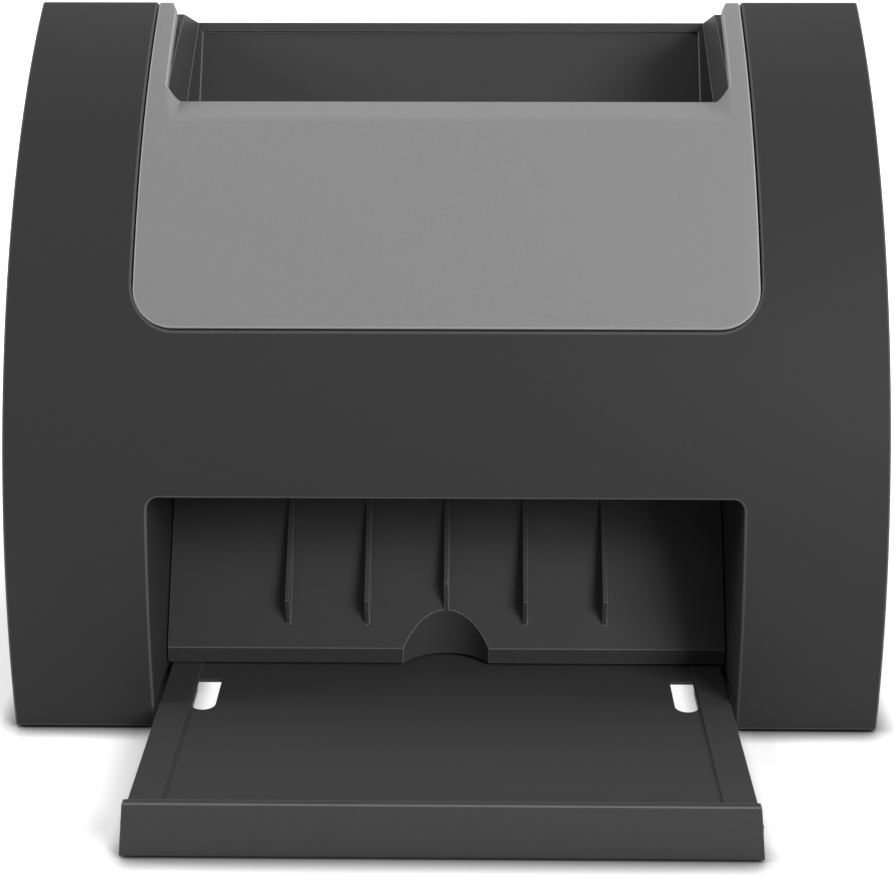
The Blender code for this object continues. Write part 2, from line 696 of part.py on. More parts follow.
def outer_shell():
    shell = prism("outer_shell", [body_outline()], -HALF_WIDTH, HALF_WIDTH, BLACK_ABS)
    inner_half = HALF_WIDTH - SHELL_WALL
    cut(shell, prism("shell_cavity", [cavity_outline()], -inner_half, inner_half))
    wall_spans = both_sides(OPENING_HALF_WIDTH - GAP, OPENING_HALF_WIDTH + RECESS_WALL)
    for side, (start, end) in wall_spans.items():
        join(shell, prism("recess_wall_" + side, [recess_wall_outline()], start, end))
    for side, (start, end) in both_sides(POST_INNER, HALF_WIDTH - SHELL_WALL / 2).items():
        for row, depth in (("front", SCREW_FRONT), ("rear", SCREW_REAR)):
            post = rectangle(depth - POST_HALF_DEPTH, depth + POST_HALF_DEPTH,
                             BASE_THICKNESS + GAP, POST_TOP)
            join(shell, prism(f"post_{row}_{side}", [post], start, end))
            screw = (math.copysign(SCREW_SIDE, start), depth)
            hole = circle(screw, SCREW_RADIUS + GAP, SMALL_STEPS)
            cut(shell, prism(f"post_hole_{row}_{side}", [hole], 0.0,
                             SCREW_LENGTH + SCREW_HEAD + GAP, along="Z"))
    opening = rounded_foot(OPENING_HALF_WIDTH, -OPENING_HEIGHT, OVERRUN, OPENING_CORNER, SLOT_STEPS)
    opening = [(across, -up) for across, up in opening]
    cut(shell, prism("output_opening", [opening], -OVERRUN, CEILING_REAR, along="Y"))
    crown = rounded_foot(COVER_HALF_WIDTH + COVER_SEAM, COVER_BOTTOM - COVER_SEAM,
                         BODY_HEIGHT + OVERRUN, COVER_CORNER + COVER_SEAM, SLOT_STEPS)
    front_top = front_skin(0.0, 0.0, BODY_HEIGHT)[-1][0]
    cut(shell, prism("cover_opening", [crown], -OVERRUN, front_top + COVER_TOP_BACK, along="Y"))
    crown_half = COVER_HALF_WIDTH + COVER_SEAM
    rear_edge = on_path(HOPPER_LIP_ALONG, -GUIDE_THICKNESS - GAP)[0]
    mouth = rectangle(-crown_half, crown_half, front_top, rear_edge)
    cut(shell, prism("hopper_mouth", [mouth], HOPPER_WALL_FOOT_HEIGHT, BODY_HEIGHT + OVERRUN,
                     along="Z"))
    rear = rectangle(-REAR_COVER_HALF_WIDTH - GAP, REAR_COVER_HALF_WIDTH + GAP,
                     REAR_COVER_BOTTOM - GAP, REAR_COVER_TOP + GAP)
    cut(shell, prism("rear_opening", [rear], BODY_DEPTH - SHELL_WALL * 2, BODY_DEPTH + OVERRUN,
                     along="Y"))


# Base plate with its foot pockets, and the rear cover with its vents

def foot_places():
    return {
        "front_left": (-FOOT_SIDE, FOOT_FRONT),
        "front_right": (FOOT_SIDE, FOOT_FRONT),
        "rear_left": (-FOOT_SIDE, FOOT_REAR),
        "rear_right": (FOOT_SIDE, FOOT_REAR),
    }


def screw_places():
    return {
        "front_left": (-SCREW_SIDE, SCREW_FRONT),
        "front_right": (SCREW_SIDE, SCREW_FRONT),
        "rear_left": (-SCREW_SIDE, SCREW_REAR),
        "rear_right": (SCREW_SIDE, SCREW_REAR),
    }


def base_plate():
    side = HALF_WIDTH - SHELL_WALL - GAP
    front = front_skin(SHELL_WALL + GAP, BASE_THICKNESS, OPENING_HEIGHT)[0][0]
    rear = BODY_DEPTH - SHELL_WALL - GAP
    notch = OPENING_HALF_WIDTH + RECESS_WALL + GAP
    outline = [
        (-side, front), (-notch, front), (-notch, BASE_REAR_OF_RECESS), (notch, BASE_REAR_OF_RECESS),
        (notch, front), (side, front), (side, rear), (-side, rear),
    ]
    base = prism("base_plate", [outline], 0.0, BASE_THICKNESS, BLACK_ABS, along="Z")
    stop_front = TRAY_REAR + TRAY_TRAVEL + STOP_GAP
    stop = rectangle(-STOP_RIB_HALF_WIDTH, STOP_RIB_HALF_WIDTH, stop_front,
                     stop_front + STOP_RIB_THICKNESS)
    join(base, prism("stop_rib", [stop], BASE_THICKNESS / 2, TRAY_SURFACE, along="Z"))
    pocket_top = FOOT_THICKNESS - FOOT_STANDING + GAP
    for name, place_xy in foot_places().items():
        cut(base, prism("foot_pocket_" + name, [circle(place_xy, FOOT_RADIUS + GAP)],
                        -OVERRUN, pocket_top, along="Z"))
    for name, place_xy in screw_places().items():
        cut(base, prism("screw_hole_" + name, [circle(place_xy, SCREW_RADIUS + GAP, SMALL_STEPS)],
                        -OVERRUN, OVERRUN, along="Z"))
        cut(base, prism("screw_sink_" + name, [circle(place_xy, SCREW_HEAD_RADIUS + GAP, SMALL_STEPS)],
                        -OVERRUN, SCREW_RECESS + SCREW_HEAD + GAP, along="Z"))


def usb_span():
    left = BOARD_INNER + BOARD_THICKNESS + GAP
    return (left, left + USB_WIDTH)


def power_span():
    left = BOARD_INNER + BOARD_THICKNESS + GAP
    return (left, left + POWER_WIDTH)


def rear_cover():
    outline = rectangle(-REAR_COVER_HALF_WIDTH, REAR_COVER_HALF_WIDTH, REAR_COVER_BOTTOM,
                        REAR_COVER_TOP)
    holes = []
    usb_left, usb_right = usb_span()
    holes.append(rectangle(usb_left - GAP, usb_right + GAP, USB_BOTTOM - GAP,
                           USB_BOTTOM + USB_HEIGHT + GAP))
    power_left, power_right = power_span()
    holes.append(rectangle(power_left - GAP, power_right + GAP, POWER_BOTTOM - GAP,
                           POWER_BOTTOM + POWER_HEIGHT + GAP))
    for row in range(VENT_COUNT):
        low = VENT_LOWEST + row * VENT_SPACING
        holes.append(rectangle(VENT_CENTRE - VENT_LENGTH / 2, VENT_CENTRE + VENT_LENGTH / 2,
                               low, low + VENT_HEIGHT))
    prism("rear_cover", [outline] + holes, BODY_DEPTH - SHELL_WALL, BODY_DEPTH, BLACK_ABS, along="Y")


def feet():
    for name, (side, depth) in foot_places().items():
        profile = [(FOOT_THICKNESS - FOOT_STANDING, 0.0), (FOOT_THICKNESS - FOOT_STANDING, FOOT_RADIUS),
                   (-FOOT_STANDING, FOOT_RADIUS), (-FOOT_STANDING, 0.0)]
        turned("foot_" + name, profile, (side, depth, 0.0), FOOT_RUBBER, turn=UPRIGHT)


def base_screws():
    for name, (side, depth) in screw_places().items():
        head_top = SCREW_RECESS + SCREW_HEAD
        profile = [(head_top + SCREW_LENGTH - SCREW_HEAD, 0.0),
                   (head_top + SCREW_LENGTH - SCREW_HEAD, SCREW_RADIUS),
                   (head_top, SCREW_RADIUS), (head_top, SCREW_HEAD_RADIUS),
                   (SCREW_RECESS, SCREW_HEAD_RADIUS), (SCREW_RECESS, 0.0)]
        turned("base_screw_" + name, profile, (side, depth, 0.0), BRIGHT_STEEL, turn=UPRIGHT,
               steps=SMALL_STEPS)


# Output tray

def slot_outline(side):
    middle = side * SLOT_CENTRE
    front_arc = arc((middle, SLOT_FRONT + SLOT_RADIUS), SLOT_RADIUS, math.pi, math.tau, SLOT_STEPS)
    return front_arc + [(middle + SLOT_RADIUS, SLOT_REAR), (middle - SLOT_RADIUS, SLOT_REAR)]


def slot_relief(side):
    """Underside pocket that thins the tray behind a slot."""
    middle = side * SLOT_CENTRE
    reach = SLOT_RADIUS + SLOT_RELIEF_MARGIN
    pocket = rectangle(middle - reach, middle + reach, SLOT_REAR - SLOT_RADIUS,
                       SLOT_REAR + SLOT_RELIEF_LENGTH)
    return prism(f"slot_relief_{side}", [pocket], 0.0, TRAY_SURFACE - TRAY_FLOOR_DROP - SLOT_SKIN,
                 body=TRAY, along="Z")


def output_tray():
    front = -TRAY_REACH + LIP_THICKNESS / 2
    shoulder = RECESS_WALL_REAR + GAP
    corner = front + TRAY_CORNER
    outline = [
        (-TRAY_HALF_WIDTH, corner), (-LIP_HALF_WIDTH_TOP, front), (LIP_HALF_WIDTH_TOP, front),
        (TRAY_HALF_WIDTH, corner), (TRAY_HALF_WIDTH, shoulder),
        (TRAY_SHOULDER_HALF_WIDTH, shoulder + GAP), (TRAY_SHOULDER_HALF_WIDTH, TRAY_REAR),
        (-TRAY_SHOULDER_HALF_WIDTH, TRAY_REAR), (-TRAY_SHOULDER_HALF_WIDTH, shoulder + GAP),
        (-TRAY_HALF_WIDTH, shoulder),
    ]
    slots = [slot_outline(-1), slot_outline(1)]
    tray = prism("output_tray", [outline] + slots, TRAY_SURFACE - TRAY_THICKNESS, TRAY_SURFACE,
                 BLACK_ABS, TRAY, along="Z")
    lip = [
        (-LIP_HALF_WIDTH_BOTTOM, 0.0), (LIP_HALF_WIDTH_BOTTOM, 0.0),
        (LIP_HALF_WIDTH_TOP, LIP_HEIGHT), (-LIP_HALF_WIDTH_TOP, LIP_HEIGHT),
    ]
    lip_rear = -TRAY_REACH + LIP_THICKNESS
    floor = rectangle(-TRAY_FLOOR_HALF_WIDTH, TRAY_FLOOR_HALF_WIDTH, front - OVERRUN,
                      TRAY_REAR + OVERRUN)
    cut(tray, prism("tray_floor", [floor], TRAY_SURFACE - TRAY_FLOOR_DROP, OVERRUN, body=TRAY,
                    along="Z"))
    cut(tray, slot_relief(-1), slot_relief(1))
    join(tray, prism("tray_lip", [lip], -TRAY_REACH, lip_rear, body=TRAY, along="Y"))


# Exit chute with its ribs and thumb notch

def exit_chute():
    wedge_rear = PATH_FOOT_DEPTH + CHUTE_WEDGE_DEPTH
    back = GUIDE_THICKNESS * math.sin(PATH_ANGLE)
    wedge_along = (CHUTE_WEDGE_DEPTH - back) / math.cos(PATH_ANGLE)
    floor_top = CHUTE_BOTTOM + CHUTE_FLOOR_THICKNESS
    outline = [
        (PATH_FOOT_DEPTH, CHUTE_BOTTOM), on_path(0.0), on_path(CHUTE_TOP_ALONG),
        on_path(CHUTE_TOP_ALONG, -GUIDE_THICKNESS), on_path(wedge_along, -GUIDE_THICKNESS),
        (wedge_rear, floor_top), (CHUTE_FLOOR_REAR, floor_top), (CHUTE_FLOOR_REAR, CHUTE_BOTTOM),
    ]
    half = OPENING_HALF_WIDTH - GAP
    chute = prism("exit_chute", [outline], -half, half, BLACK_ABS)
    rib = [
        on_path(RIB_LOW_ALONG, -GUIDE_THICKNESS / 2), on_path(RIB_LOW_ALONG),
        on_path(RIB_KINK_ALONG, RIB_HEIGHT), on_path(RIB_TOP_ALONG),
        on_path(RIB_TOP_ALONG, -GUIDE_THICKNESS / 2),
    ]
    for number in range(RIB_COUNT):
        middle = (number - (RIB_COUNT - 1) / 2) * RIB_SPACING
        join(chute, prism(f"rib_{number + 1}", [rib], middle - RIB_THICKNESS / 2,
                          middle + RIB_THICKNESS / 2))
    centre = (0.0, PATH_FOOT_DEPTH + NOTCH_DEPTH - NOTCH_RADIUS)
    cut(chute, prism("thumb_notch", [circle(centre, NOTCH_RADIUS, NOTCH_STEPS)], 0.0, OPENING_HEIGHT,
                     along="Z"))
    tyre_windows(chute, "exit", EXIT_ALONG)


def tyre_windows(target, name, along):
    """Two windows through a guide, which the pair of tyres reaches through."""
    reach = FEED_TYRE_RADIUS - TYRE_WINDOW_MARGIN / 2
    spans = both_sides(TYRE_CENTRE - TYRE_WIDTH / 2 - TYRE_WINDOW_MARGIN,
                       TYRE_CENTRE + TYRE_WIDTH / 2 + TYRE_WINDOW_MARGIN)
    for side, (start, end) in spans.items():
        cut(target, path_block(f"{name}_window_{side}", along - reach, along + reach,
                               -GUIDE_THICKNESS * 2, GUIDE_THICKNESS, start, end))


# Exit guide: the ceiling of the recess and the lower front guide, with ears for the cover's hinge

def exit_guide():
    seat = SHELL_WALL + GAP
    outer = front_skin(seat, CEILING_HEIGHT, EXIT_GUIDE_FLANGE_TOP, ROUND_STEPS // 2) + [
        (EXIT_GUIDE_EAR_DEPTH, EXIT_GUIDE_FLANGE_TOP),
        on_path(EXIT_GUIDE_HIGH, PATH_THROAT + GUIDE_THICKNESS * 2),
        on_path(EXIT_GUIDE_HIGH, PATH_THROAT), on_path(EXIT_GUIDE_LOW, PATH_THROAT),
        (CEILING_REAR, CEILING_HEIGHT),
    ]
    ceiling_top = CEILING_HEIGHT + GUIDE_THICKNESS
    pocket_corner = on_path(EXIT_GUIDE_LOW + GUIDE_THICKNESS, PATH_THROAT + GUIDE_THICKNESS)
    pocket = front_skin(seat + GUIDE_THICKNESS, ceiling_top, EXIT_GUIDE_FLANGE_TOP + OVERRUN,
                        ROUND_STEPS // 2) + [
        on_path(EXIT_GUIDE_HIGH + OVERRUN, PATH_THROAT + GUIDE_THICKNESS), pocket_corner,
        (pocket_corner[0] - GUIDE_THICKNESS, ceiling_top),
    ]
    guide = prism("exit_guide", [outer], -EXIT_GUIDE_HALF_WIDTH, EXIT_GUIDE_HALF_WIDTH, BLACK_ABS)
    pocket_half = EXIT_GUIDE_HALF_WIDTH - EXIT_GUIDE_SIDE
    cut(guide, prism("exit_guide_pocket", [pocket], -pocket_half, pocket_half))
    past = EXIT_GUIDE_HALF_WIDTH + OVERRUN
    pin_hole = circle(HINGE_AXIS, HINGE_PIN_RADIUS + GAP, SMALL_STEPS)
    cut(guide, prism("hinge_pin_holes", [pin_hole], -past, past))
    cut(guide, prism("exit_pinch_holes", [circle(EXIT_PINCH_AXIS, PINCH_SHAFT_RADIUS + GAP)],
                     -past, past))
    pinch_windows(guide, "exit_pinch", EXIT_ALONG, SCANNER)


def pinch_windows(target, name, along, body):
    """Two windows through a front guide for the drums of a pinch roller."""
    reach = PINCH_RADIUS + TYRE_WINDOW_MARGIN / 2
    spans = both_sides(TYRE_CENTRE - PINCH_DRUM_WIDTH / 2 - TYRE_WINDOW_MARGIN,
                       TYRE_CENTRE + PINCH_DRUM_WIDTH / 2 + TYRE_WINDOW_MARGIN)
    for side, (start, end) in spans.items():
        cut(target, path_block(f"{name}_window_{side}", along - reach, along + reach, 0.0,
                               PATH_THROAT + GUIDE_THICKNESS * 2, start, end, body=body))


def hinge_pins():
    start = COVER_FRAME_HALF_WIDTH - COVER_FRAME_SIDE - GAP
    for side, (low, high) in both_sides(start, EXIT_GUIDE_HALF_WIDTH).items():
        profile = [(high, 0.0), (high, HINGE_PIN_RADIUS), (low, HINGE_PIN_RADIUS), (low, 0.0)]
        turned("hinge_pin_" + side, profile, (0.0, *HINGE_AXIS), BRIGHT_STEEL, steps=SMALL_STEPS)


# Hopper: the sloped back wall with its card channel, and two side walls

def hopper():
    lip = on_path(HOPPER_LIP_ALONG)
    wall_gap = SHELL_WALL + GAP * 2
    front = front_skin(wall_gap, HOPPER_WALL_FOOT_HEIGHT, BODY_HEIGHT - HOPPER_RIM_DROP,
                       ROUND_STEPS // 2)
    rim_front = front[-1]
    rear_edge = on_path(HOPPER_LIP_ALONG, -GUIDE_THICKNESS)
    rim_slope = (lip[1] - rim_front[1]) / (lip[0] - rim_front[0])
    wall_foot_along = (HOPPER_WALL_FOOT_HEIGHT - PATH_FOOT_HEIGHT) / math.sin(PATH_ANGLE)
    outline = front + [
        (rear_edge[0], lip[1] + rim_slope * (rear_edge[0] - lip[0])), rear_edge,
        on_path(HOPPER_FOOT_ALONG, -GUIDE_THICKNESS), on_path(HOPPER_FOOT_ALONG, GAP),
        on_path(wall_foot_along, GAP),
    ]
    half = HOPPER_OUTER_HALF_WIDTH
    body = prism("hopper", [outline], -half, half, BLACK_ABS)
    above = [
        on_path(HOPPER_FOOT_ALONG - OVERRUN, 0.0), on_path(HOPPER_LIP_ALONG + OVERRUN, 0.0),
        on_path(HOPPER_LIP_ALONG + OVERRUN, HOPPER_LIP_ALONG),
        on_path(HOPPER_FOOT_ALONG - OVERRUN, HOPPER_LIP_ALONG),
    ]
    cavity = prism("hopper_cavity", [above], -half - OVERRUN, half + OVERRUN)
    top = lip[1] + OVERRUN
    foot = HOPPER_WALL_FOOT_HEIGHT - OVERRUN * 2
    half_top = HOPPER_HALF_WIDTH_TOP - OVERRUN * HOPPER_FLARE_PER_HEIGHT_SHARE
    half_foot = HOPPER_HALF_WIDTH_TOP + (lip[1] - foot) * HOPPER_FLARE_PER_HEIGHT_SHARE
    flare = [(-half_foot, foot), (half_foot, foot), (half_top, top), (-half_top, top)]
    flare_block = prism("hopper_flare", [flare], -OVERRUN, BODY_DEPTH + OVERRUN, along="Y")
    keep_inside(cavity, flare_block)
    cut(body, cavity)
    cut(body, path_block("card_channel", HOPPER_FOOT_ALONG - OVERRUN,
                         HOPPER_LIP_ALONG - CHANNEL_BELOW_LIP, -CHANNEL_DEPTH, CHANNEL_DEPTH,
                         -CHANNEL_HALF_WIDTH, CHANNEL_HALF_WIDTH))
    reach = PICK_TYRE_RADIUS - TYRE_WINDOW_MARGIN
    pick_half = PICK_TYRE_WIDTH / 2 + TYRE_WINDOW_MARGIN
    cut(body, path_block("pick_window", PICK_ALONG - reach, PICK_ALONG + reach,
                         -GUIDE_THICKNESS * 2, GUIDE_THICKNESS, -pick_half, pick_half))
    tyre_windows(body, "feed", FEED_ALONG)


# Front cover: the grey skin with two arms and a rolled edge over the hopper

def front_cover():
    steps = FRONT_STEPS
    band = front_skin(0.0, COVER_BOTTOM - OVERRUN, BODY_HEIGHT, steps)
    band += front_skin(SHELL_WALL, COVER_BOTTOM - OVERRUN, BODY_HEIGHT - SHELL_WALL, steps)[::-1]
    cover = prism("front_cover", [band], -COVER_HALF_WIDTH, COVER_HALF_WIDTH, GREY_ABS, COVER)
    face = rounded_foot(COVER_HALF_WIDTH, COVER_BOTTOM, BODY_HEIGHT + OVERRUN, COVER_CORNER,
                        SLOT_STEPS)
    keep_inside(cover, prism("cover_face", [face], -OVERRUN, BODY_DEPTH, body=COVER, along="Y"))
    notch_low = COVER_ROLL_START - SHELL_WALL
    notch = rectangle(-COVER_NOTCH_HALF_WIDTH, COVER_NOTCH_HALF_WIDTH, notch_low,
                      BODY_HEIGHT + OVERRUN)
    cut(cover, prism("cover_notch", [notch], -OVERRUN, BODY_DEPTH, body=COVER, along="Y"))
    low = front_skin(0.0, notch_low - SHELL_WALL, COVER_ROLL_START, SLOT_STEPS)
    centre, tangent = roll_centre()
    roll = arc(centre, COVER_ROLL_RADIUS, tangent, COVER_ROLL_END, COVER_ROLL_STEPS)
    inner_roll = arc(centre, COVER_ROLL_RADIUS - SHELL_WALL, COVER_ROLL_END, tangent,
                     COVER_ROLL_STEPS)
    inner = front_skin(SHELL_WALL, notch_low - SHELL_WALL, inner_roll[-1][1], SLOT_STEPS)[::-1]
    outline = low[:-1] + roll + inner_roll[:-1] + inner
    join(cover, prism("cover_roll", [outline], -COVER_NOTCH_HALF_WIDTH, COVER_NOTCH_HALF_WIDTH,
                      body=COVER))


def roll_centre():
    """Centre of the rolled edge, which leaves the front curve without a kink, and where it starts."""
    start = Vector(front_skin(0.0, 0.0, COVER_ROLL_START)[-1])
    inwards = (Vector((FRONT_CENTRE_DEPTH, FRONT_CENTRE_HEIGHT)) - start).normalized()
    centre = start + COVER_ROLL_RADIUS * inwards
    return tuple(centre), math.atan2(-inwards.y, -inwards.x)


# Frame behind the cover: guide plate, hopper floor and two side plates with the hinge arms

def cover_frame():
    seat = SHELL_WALL + GAP
    centre, _ = roll_centre()
    edge = Vector(on_bearing(centre, COVER_ROLL_RADIUS + GAP, COVER_ROLL_END))
    floor_front = (edge.x + GAP, edge.y - GAP)
    floor_under = (floor_front[0] - GAP * 2, floor_front[1] - COVER_FLOOR_RISE)
    clear = math.pi / 2 - COVER_OPEN_CLEAR
    boss = arc(HINGE_AXIS, HINGE_BOSS_RADIUS, -math.pi / 4, -math.pi - math.pi / 4, ROUND_STEPS // 2)
    front = front_skin(seat, COVER_BOTTOM + seat, COVER_FRAME_TOP, ROUND_STEPS // 2)
    arm_under = on_bearing(on_path(COVER_FRAME_LOW, PATH_THROAT), HINGE_BOSS_RADIUS * 2,
                           math.pi - COVER_ARM_SPREAD)
    outline = boss + [
        on_bearing(HINGE_AXIS, COVER_ARM_THROAT, clear),
        on_bearing(HINGE_AXIS, COVER_ARM_REACH, clear + COVER_ARM_SPREAD / 3),
        on_bearing(HINGE_AXIS, COVER_ARM_REACH, clear + COVER_ARM_SPREAD),
    ] + front + [
        (centre[0], COVER_FRAME_TOP), floor_under, floor_front,
        on_path(COVER_FRAME_HIGH, PATH_THROAT), on_path(COVER_FRAME_LOW, PATH_THROAT), arm_under,
    ]
    half = COVER_FRAME_HALF_WIDTH
    frame = prism("cover_frame", [outline], -half, half, DARK_ABS, COVER)
    back = PATH_THROAT + GUIDE_THICKNESS
    under_high = on_path(COVER_FRAME_HIGH - COVER_FLOOR_THICKNESS, back)
    pocket = [
        on_path(EXIT_GUIDE_LOW, back), under_high,
        (floor_under[0] - GAP, floor_under[1]), (FRONT_CENTRE_DEPTH / 4, BODY_HEIGHT),
        (-OVERRUN, BODY_HEIGHT), (-OVERRUN, OPENING_HEIGHT),
    ]
    pocket_half = half - COVER_FRAME_SIDE
    cut(frame, prism("cover_frame_pocket", [pocket], -pocket_half, pocket_half, body=COVER))
    cut(frame, path_block("front_unit_window", UNIT_FRONT_LOW - GAP, UNIT_FRONT_HIGH + GAP, 0.0,
                          back * 2, -pocket_half + GAP / 2, pocket_half - GAP / 2, body=COVER))
    pinch_windows(frame, "feed_pinch", FEED_ALONG, COVER)
    pad_reach = PAD_HALF_LENGTH + PAD_WINDOW_MARGIN
    pad_half = PAD_HALF_WIDTH + PAD_WINDOW_MARGIN
    cut(frame, path_block("pad_window", PICK_ALONG - pad_reach, PICK_ALONG + pad_reach, 0.0,
                          back * 2, -pad_half, pad_half, body=COVER))
    past = half + OVERRUN
    pin_bore = circle(HINGE_AXIS, HINGE_PIN_RADIUS + GAP, SMALL_STEPS)
    cut(frame, prism("hinge_bores", [pin_bore], -past, past, body=COVER))
    cut(frame, prism("pinch_bores", [circle(FEED_PINCH_AXIS, PINCH_SHAFT_RADIUS + GAP)], -past, past,
                     body=COVER))


def separation_pad():
    half = PAD_HALF_WIDTH
    low = PICK_ALONG - PAD_HALF_LENGTH
    high = PICK_ALONG + PAD_HALF_LENGTH
    pad_back = PAD_FACE + PAD_THICKNESS
    path_block("separation_pad", low, high, PAD_FACE, pad_back, -half, half, PAD_CORK, COVER)
    holder = pad_back + GAP
    holder_back = holder + PAD_HOLDER_THICKNESS
    path_block("pad_holder", low, high, holder, holder_back, -half, half, ACETAL, COVER)
    foot = holder_back + GAP
    bend = PICK_ALONG - PAD_HALF_LENGTH * 2
    end = PICK_ALONG - PAD_HALF_LENGTH * 3
    guide_back = PATH_THROAT + GUIDE_THICKNESS + GAP
    thick = PAD_SPRING_THICKNESS
    leaf = [
        on_path(high, foot), on_path(high, foot + thick),
        on_path(bend, guide_back + PAD_SPRING_RISE / 2), on_path(end, guide_back + thick),
        on_path(end, guide_back),
        on_path(bend, guide_back + PAD_SPRING_RISE / 2 - thick), on_path(low, foot),
    ]
    prism("pad_spring", [leaf], -half / 2, half / 2, SPRING_STEEL, COVER)


# Scanning units, one on each side of the card

def scanning_units():
    rear_half = UNIT_REAR_HALF_WIDTH
    glass_top = -GLASS_BELOW_PATH
    glass_foot = glass_top - GLASS_THICKNESS
    unit_top = glass_foot - GAP
    path_block("scan_unit_rear", UNIT_REAR_LOW, UNIT_REAR_HIGH, unit_top - UNIT_DEPTH, unit_top,
               -rear_half, rear_half, DARK_ABS)
    path_block("scan_glass_rear", UNIT_REAR_LOW + GLASS_MARGIN, UNIT_REAR_HIGH - GLASS_MARGIN,
               glass_foot, glass_top, -rear_half + GLASS_MARGIN, rear_half - GLASS_MARGIN, GLASS)
    front_half = UNIT_FRONT_HALF_WIDTH
    face = PATH_THROAT - GLASS_ABOVE_THROAT
    back = face + GLASS_THICKNESS
    path_block("scan_glass_front", UNIT_FRONT_LOW + GLASS_MARGIN, UNIT_FRONT_HIGH - GLASS_MARGIN,
               face, back, -front_half + GLASS_MARGIN, front_half - GLASS_MARGIN, GLASS, COVER)
    path_block("scan_unit_front", UNIT_FRONT_LOW, UNIT_FRONT_HIGH, back + GAP,
               back + GAP + UNIT_DEPTH, -front_half, front_half, DARK_ABS, COVER)


# Side frames with their bushes

def frame_outline():
    exit_front = EXIT_AXIS[0] - FRAME_MARGIN
    exit_high = EXIT_AXIS[1] + FRAME_MARGIN
    return [
        (FRAME_FRONT, BASE_THICKNESS + GAP), (FRAME_FRONT, EXIT_AXIS[1] - FRAME_MARGIN),
        (exit_front, exit_high), (FEED_AXIS[0] - FRAME_MARGIN, FEED_AXIS[1] + FRAME_MARGIN),
        (PICK_AXIS[0] - FRAME_MARGIN, PICK_AXIS[1] + FRAME_MARGIN), (FRAME_TOP_DEPTH, FRAME_TOP),
        (FRAME_REAR, REAR_COVER_TOP), (FRAME_REAR, BASE_THICKNESS + GAP),
    ]


def side_frames():
    bushes = [circle(axis, BUSH_RADIUS + GAP) for axis in (PICK_AXIS, FEED_AXIS, EXIT_AXIS)]
    studs = [circle(axis, GEAR_PIN_RADIUS + GAP, SMALL_STEPS)
             for axis in (DRIVE_IDLER_AXIS, PICK_IDLER_AXIS, REDUCTION_AXIS)]
    boss = circle(MOTOR_AXIS, MOTOR_BOSS_RADIUS + GAP)
    prism("frame_left", [frame_outline(), boss] + bushes + studs, -FRAME_OUTER, -FRAME_INNER,
          ZINC_STEEL)
    right = prism("frame_right", [frame_outline()] + bushes, FRAME_INNER, FRAME_OUTER, ZINC_STEEL)
    for number, place_yz in enumerate(board_holes()):
        standoff = circle(place_yz, STANDOFF_RADIUS, SMALL_STEPS)
        join(right, prism(f"standoff_{number + 1}", [standoff],
                          FRAME_INNER + FRAME_THICKNESS / 2, BOARD_INNER - GAP))


def shaft_bushes():
    for name, axis in (("pick", PICK_AXIS), ("feed", FEED_AXIS), ("exit", EXIT_AXIS)):
        for side, sign in (("left", -1), ("right", 1)):
            bore = SHAFT_RADIUS + GAP
            flange_back = FRAME_INNER - GAP
            flange_face = flange_back - BUSH_FLANGE
            end = FRAME_OUTER + BUSH_OUTSTAND
            profile = [(end, bore), (end, BUSH_RADIUS), (flange_back, BUSH_RADIUS),
                       (flange_back, BUSH_FLANGE_RADIUS), (flange_face, BUSH_FLANGE_RADIUS),
                       (flange_face, bore)]
            if sign < 0:
                profile = [(-along, radius) for along, radius in reversed(profile)]
            turned(f"{name}_bush_{side}", profile, (0.0, *axis), BRONZE, hollow=True)


# Driven rollers and pinch rollers

def driven_roller(name, axis, body, tyres):
    shaft = [(SHAFT_RIGHT_END, 0.0), (SHAFT_RIGHT_END, SHAFT_RADIUS), (-SHAFT_LEFT_END, SHAFT_RADIUS),
             (-SHAFT_LEFT_END, 0.0)]
    turned(name + "_shaft", shaft, (0.0, *axis), BRIGHT_STEEL, body)
    bore = SHAFT_RADIUS + GAP
    for tyre_name, middle, width, radius in tyres:
        low = middle - width / 2
        high = middle + width / 2
        profile = [(high, bore), (high, radius), (low, radius), (low, bore)]
        turned(tyre_name, profile, (0.0, *axis), TYRE_RUBBER, body, hollow=True, steps=ROLLER_STEPS)


def pinch_roller(name, axis, body, end):
    profile = [(end, 0.0), (end, PINCH_SHAFT_RADIUS)]
    for middle in (TYRE_CENTRE, -TYRE_CENTRE):
        high = middle + PINCH_DRUM_WIDTH / 2
        low = middle - PINCH_DRUM_WIDTH / 2
        profile += [(high, PINCH_SHAFT_RADIUS), (high, PINCH_RADIUS), (low, PINCH_RADIUS),
                    (low, PINCH_SHAFT_RADIUS)]
    profile += [(-end, PINCH_SHAFT_RADIUS), (-end, 0.0)]
    turned(name, profile, (0.0, *axis), ACETAL, body)


def rollers():
    pair = [("left", -TYRE_CENTRE), ("right", TYRE_CENTRE)]
    driven_roller("pick", PICK_AXIS, PICK,
                  [("pick_tyre", 0.0, PICK_TYRE_WIDTH, PICK_TYRE_RADIUS)])
    driven_roller("feed", FEED_AXIS, FEED,
                  [("feed_tyre_" + side, x, TYRE_WIDTH, FEED_TYRE_RADIUS) for side, x in pair])
    driven_roller("exit", EXIT_AXIS, EXIT,
                  [("exit_tyre_" + side, x, TYRE_WIDTH, FEED_TYRE_RADIUS) for side, x in pair])
    pinch_roller("feed_pinch_roller", FEED_PINCH_AXIS, FEED_PINCH, COVER_FRAME_HALF_WIDTH - GAP)
    pinch_roller("exit_pinch_roller", EXIT_PINCH_AXIS, EXIT_PINCH, EXIT_GUIDE_HALF_WIDTH - GAP)


# Gear train on the left frame

def involute(angle):
    return math.tan(angle) - angle


